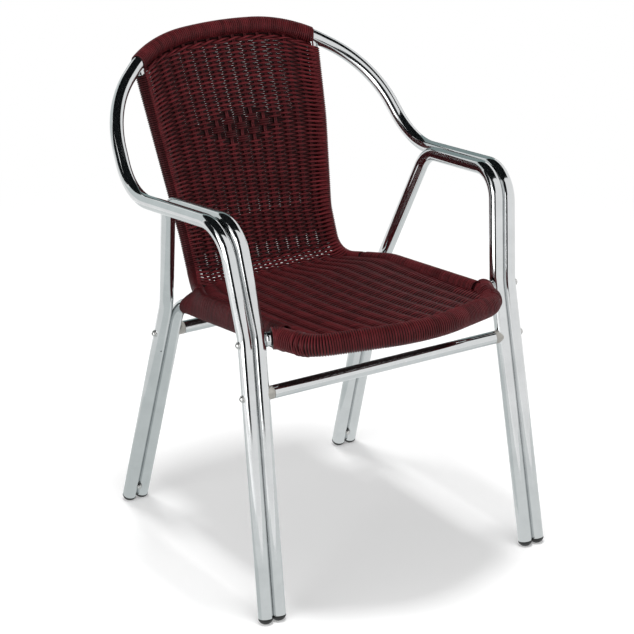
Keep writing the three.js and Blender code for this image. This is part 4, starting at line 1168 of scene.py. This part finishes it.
def roll_parts():
    turns = int((ROLL_REAR_Y - ROLL_FRONT_Y) / ROLL_PITCH)
    rail_r = TUBE_R + WRAP_STRAND_R
    border_r = BORDER_R + WRAP_STRAND_R
    levels = np.linspace(ROLL_REAR_Y, ROLL_FRONT_Y, turns + 1)
    levels[1:-1] += ROLL_PAIR_SHIFT * (-1.0) ** np.arange(turns - 1)
    loops = np.array([roll_loop(y, rail_r, border_r) for y in levels])
    share = np.arange(ROLL_TURN_STEPS)[:, None] / ROLL_TURN_STEPS
    points = np.concatenate([lerp(loops[t], loops[t + 1], share) for t in range(turns)])
    outward = points - np.repeat(loops[:-1].mean(1), ROLL_TURN_STEPS, axis=0)
    outward[:, 1] = 0
    by_turn = rng.uniform(WRAP_DARKEST, 1.0, turns + 1)
    tones = np.interp(np.arange(len(points)) / ROLL_TURN_STEPS, np.arange(turns + 1), by_turn)
    # A black core inside the roll, painted shade between its turns
    core_rs = (rail_r - ROLL_CORE_SINK, border_r - ROLL_CORE_SINK)
    core = np.array([roll_loop(y, *core_rs) for y in levels[::ROLL_CORE_SKIP]])
    return [strand(points, unit(outward), WRAP_STRAND_R, tones), (core[:, ::-1], 0.0)]


add_piece("arch_wrap_strand", arch_wrap_parts(), "wicker", ["arch_wrap"])
add_piece("bar_wrap_strand", bar_wrap_parts(), "wicker", ["bar_wrap"])
add_pairs(
    "wicker",
    ("border_wrap_strand", "border_wrap", border_wrap_parts()),
    ("side_roll_strand", "side_roll", roll_parts()),
)

# Camera at the photograph's viewing angle
CAMERA_AZIMUTH = -31.857
CAMERA_ELEVATION = 21.318
CAMERA_ROLL = -0.59
CAMERA_DISTANCE = 4.0166
CAMERA_REACH = 100.0
CAMERA_TARGET = (0.0, 0.0, 0.336)
IMAGE_SIZE = 634
FOCAL_PIXELS = 2341.04
CENTRE_PIXEL = (317.73, 344.79)
SENSOR = 36.0


def placed(right, up, back, place):
    """A transform with the given axes at a place."""
    matrix = np.eye(4)
    matrix[:3] = np.stack([right, up, back, place], axis=1)
    return Matrix(matrix.tolist())


def add_camera():
    a = math.radians(CAMERA_AZIMUTH)
    e = math.radians(CAMERA_ELEVATION)
    r = math.radians(CAMERA_ROLL)
    back = vec(math.sin(a) * math.cos(e), -math.cos(a) * math.cos(e), math.sin(e))
    right = unit(np.cross(-back, Z_AXIS))
    up = np.cross(right, -back)
    right, up = right * math.cos(r) + up * math.sin(r), up * math.cos(r) - right * math.sin(r)
    data = bpy.data.cameras.new("camera")
    data.sensor_width = SENSOR
    data.lens = FOCAL_PIXELS * SENSOR / IMAGE_SIZE
    data.shift_x = (IMAGE_SIZE / 2 - CENTRE_PIXEL[0]) / IMAGE_SIZE
    data.shift_y = (CENTRE_PIXEL[1] - IMAGE_SIZE / 2) / IMAGE_SIZE
    data.clip_end = CAMERA_REACH
    camera = bpy.data.objects.new("camera", data)
    bpy.context.scene.collection.objects.link(camera)
    place = vec(*CAMERA_TARGET) + back * CAMERA_DISTANCE + SHIFT
    camera.matrix_world = placed(right, up, back, place)
    bpy.context.scene.camera = camera


add_camera()

# Stage: a white floor and world, soft lamps, and cards that only polished surfaces see
WORLD_LEVEL = 0.50
FLOOR_SIZE = (40.0, 40.0)
FLOOR_COLOUR = 0.80
FLOOR_GLOW = 0.27
SHADE_REACH = (1.1, 2.2)
CARD_BLACK = (0.012, 0.014, 0.015)
GROUND_GREY = (0.82, 0.845, 0.845)
# Grey of a painted shadow of the chair on the floor, which only polished surfaces see
FLOOR_SHADOW_GREY = (0.66, 0.70, 0.70)
BLUE_GREY = (0.27, 0.34, 0.34)
PALE_GREY = (0.70, 0.75, 0.75)


def add_world():
    world = bpy.data.worlds.new("world")
    world.use_nodes = True
    bpy.context.scene.world = world
    tree = Tree(world.node_tree)
    plain = tree.nodes["Background"]
    tree.set(plain, {"Color": (1, 1, 1, 1), "Strength": WORLD_LEVEL})
    white = tree.glow("ShaderNodeBackground", 1.0)
    shader = tree.mix_shaders(tree.shown_ray(), plain.outputs[0], white)
    tree.set(tree.nodes["World Output"], {"Surface": shader})


def floor_material():
    """White that takes the chair's shadow near it and glows evenly to the horizon further out."""
    material, tree, shader = new_material("floor")
    tree.set(shader, {
        "Base Color": (*grey(FLOOR_COLOUR), 1),
        "Roughness": 0.9,
        "Specular IOR Level": 0.0,
    })
    faint = tree.glow("ShaderNodeEmission", FLOOR_GLOW)
    near = tree.add("ShaderNodeAddShader", {0: shader.outputs[0], 1: faint})
    distance = tree.add("ShaderNodeVectorMath", {0: tree.coords()}, "Value", operation="LENGTH")
    inputs = {"Value": distance, "From Min": SHADE_REACH[0], "From Max": SHADE_REACH[1]}
    far = tree.add("ShaderNodeMapRange", inputs, "Result", interpolation_type="SMOOTHSTEP")
    shown = tree.mix_shaders(far, near, tree.glow("ShaderNodeEmission", 1.0))
    seen = tree.mix_shaders(tree.shown_ray(), shader.outputs[0], shown)
    tree.set(tree.nodes["Material Output"], {"Surface": seen})
    return material


def black_material():
    material, tree, shader = new_material("black_card")
    tree.set(shader, {"Base Color": (*CARD_BLACK, 1), "Roughness": 1.0, "Specular IOR Level": 0.0})
    return material


def grey_material(name, colour):
    material, tree, _ = new_material(name)
    tree.set(tree.nodes["Material Output"], {"Surface": tree.glow("ShaderNodeEmission", 1.0, colour)})
    return material


def facing(place, target):
    """A transform at a place whose Z axis points away from a target."""
    back = unit(vec(*place) - vec(*target))
    right = X_AXIS if abs(back[2]) > STEEP_SHARE else unit(np.cross(Z_AXIS, back))
    return placed(right, np.cross(back, right), back, place)


def add_lamp(name, size, power, place, target):
    data = bpy.data.lights.new(name, "AREA")
    data.shape = "RECTANGLE"
    data.size, data.size_y = size
    data.energy = power
    lamp = bpy.data.objects.new(name, data)
    bpy.context.scene.collection.objects.link(lamp)
    lamp.matrix_world = facing(place, target)
    return lamp


def plane(name, size, material, place=(0, 0, 0)):
    mesh = bpy.data.meshes.new(name)
    x, y = size[0] / 2, size[1] / 2
    mesh.from_pydata([(-x, -y, 0), (x, -y, 0), (x, y, 0), (-x, y, 0)], [], [(0, 1, 2, 3)])
    obj = bpy.data.objects.new(name, mesh)
    obj.data.materials.append(material)
    obj.location = place
    bpy.context.scene.collection.objects.link(obj)
    return obj


def card(name, material, bearing, width, low, high, distance):
    """An upright card. The bearing is in degrees from straight ahead of the chair towards its left."""
    a = math.radians(bearing)
    middle = (low + high) / 2
    place = (-math.sin(a) * distance, -math.cos(a) * distance, middle)
    obj = plane(name, (width, high - low), material)
    obj.matrix_world = facing(place, (0, 0, middle))
    return obj


def only_in_reflections(obj):
    for ray in ("camera", "diffuse", "transmission", "volume_scatter", "shadow"):
        setattr(obj, f"visible_{ray}", False)


add_world()
plane("floor", FLOOR_SIZE, floor_material())
top_softbox = add_lamp("top_softbox", size=(0.80, 0.90), power=144.0, place=(0, 0, 5.2), target=(0, 0, 0.4))
top_softbox.visible_glossy = False
add_lamp("left_softbox", size=(1.5, 1.6), power=24.0, place=(-2.15, -0.62, 0.86), target=(0, 0, 0.8))
black = black_material()
pale = grey_material("pale_grey_card", PALE_GREY)
blue = grey_material("blue_grey_card", BLUE_GREY)
ground = grey_material("grey_card", GROUND_GREY)
# A darker glowing card under the chair: a painted floor shadow, seen only in reflections
under = grey_material("painted_floor_shadow_card", FLOOR_SHADOW_GREY)
for reflected in (
    card("card_front_left", black, bearing=42.5, width=0.80, low=0.20, high=3.2, distance=1.6),
    card("card_front_high", black, bearing=46.0, width=1.50, low=1.35, high=3.2, distance=1.7),
    card("card_rear_left", black, bearing=112.0, width=1.6, low=0.02, high=2.9, distance=2.7),
    card("card_rear", pale, bearing=153.0, width=2.4, low=0.55, high=3.1, distance=3.2),
    card("card_rear_right", blue, bearing=205.0, width=2.6, low=0.55, high=3.2, distance=3.0),
    card("card_low_right", black, bearing=222.0, width=1.5, low=0.15, high=0.72, distance=2.6),
    plane("card_ceiling", size=(5.6, 4.9), material=black, place=(0, 1.15, 3.2)),
    plane("card_ground", size=(2.4, 2.4), material=ground, place=(0, 0, 0.0006)),
    plane("card_painted_floor_shadow", size=(0.70, 0.85), material=under, place=(-0.26, 0.15, 0.0009)),
):
    only_in_reflections(reflected)
bpy.context.scene.view_settings.view_transform = "Standard"
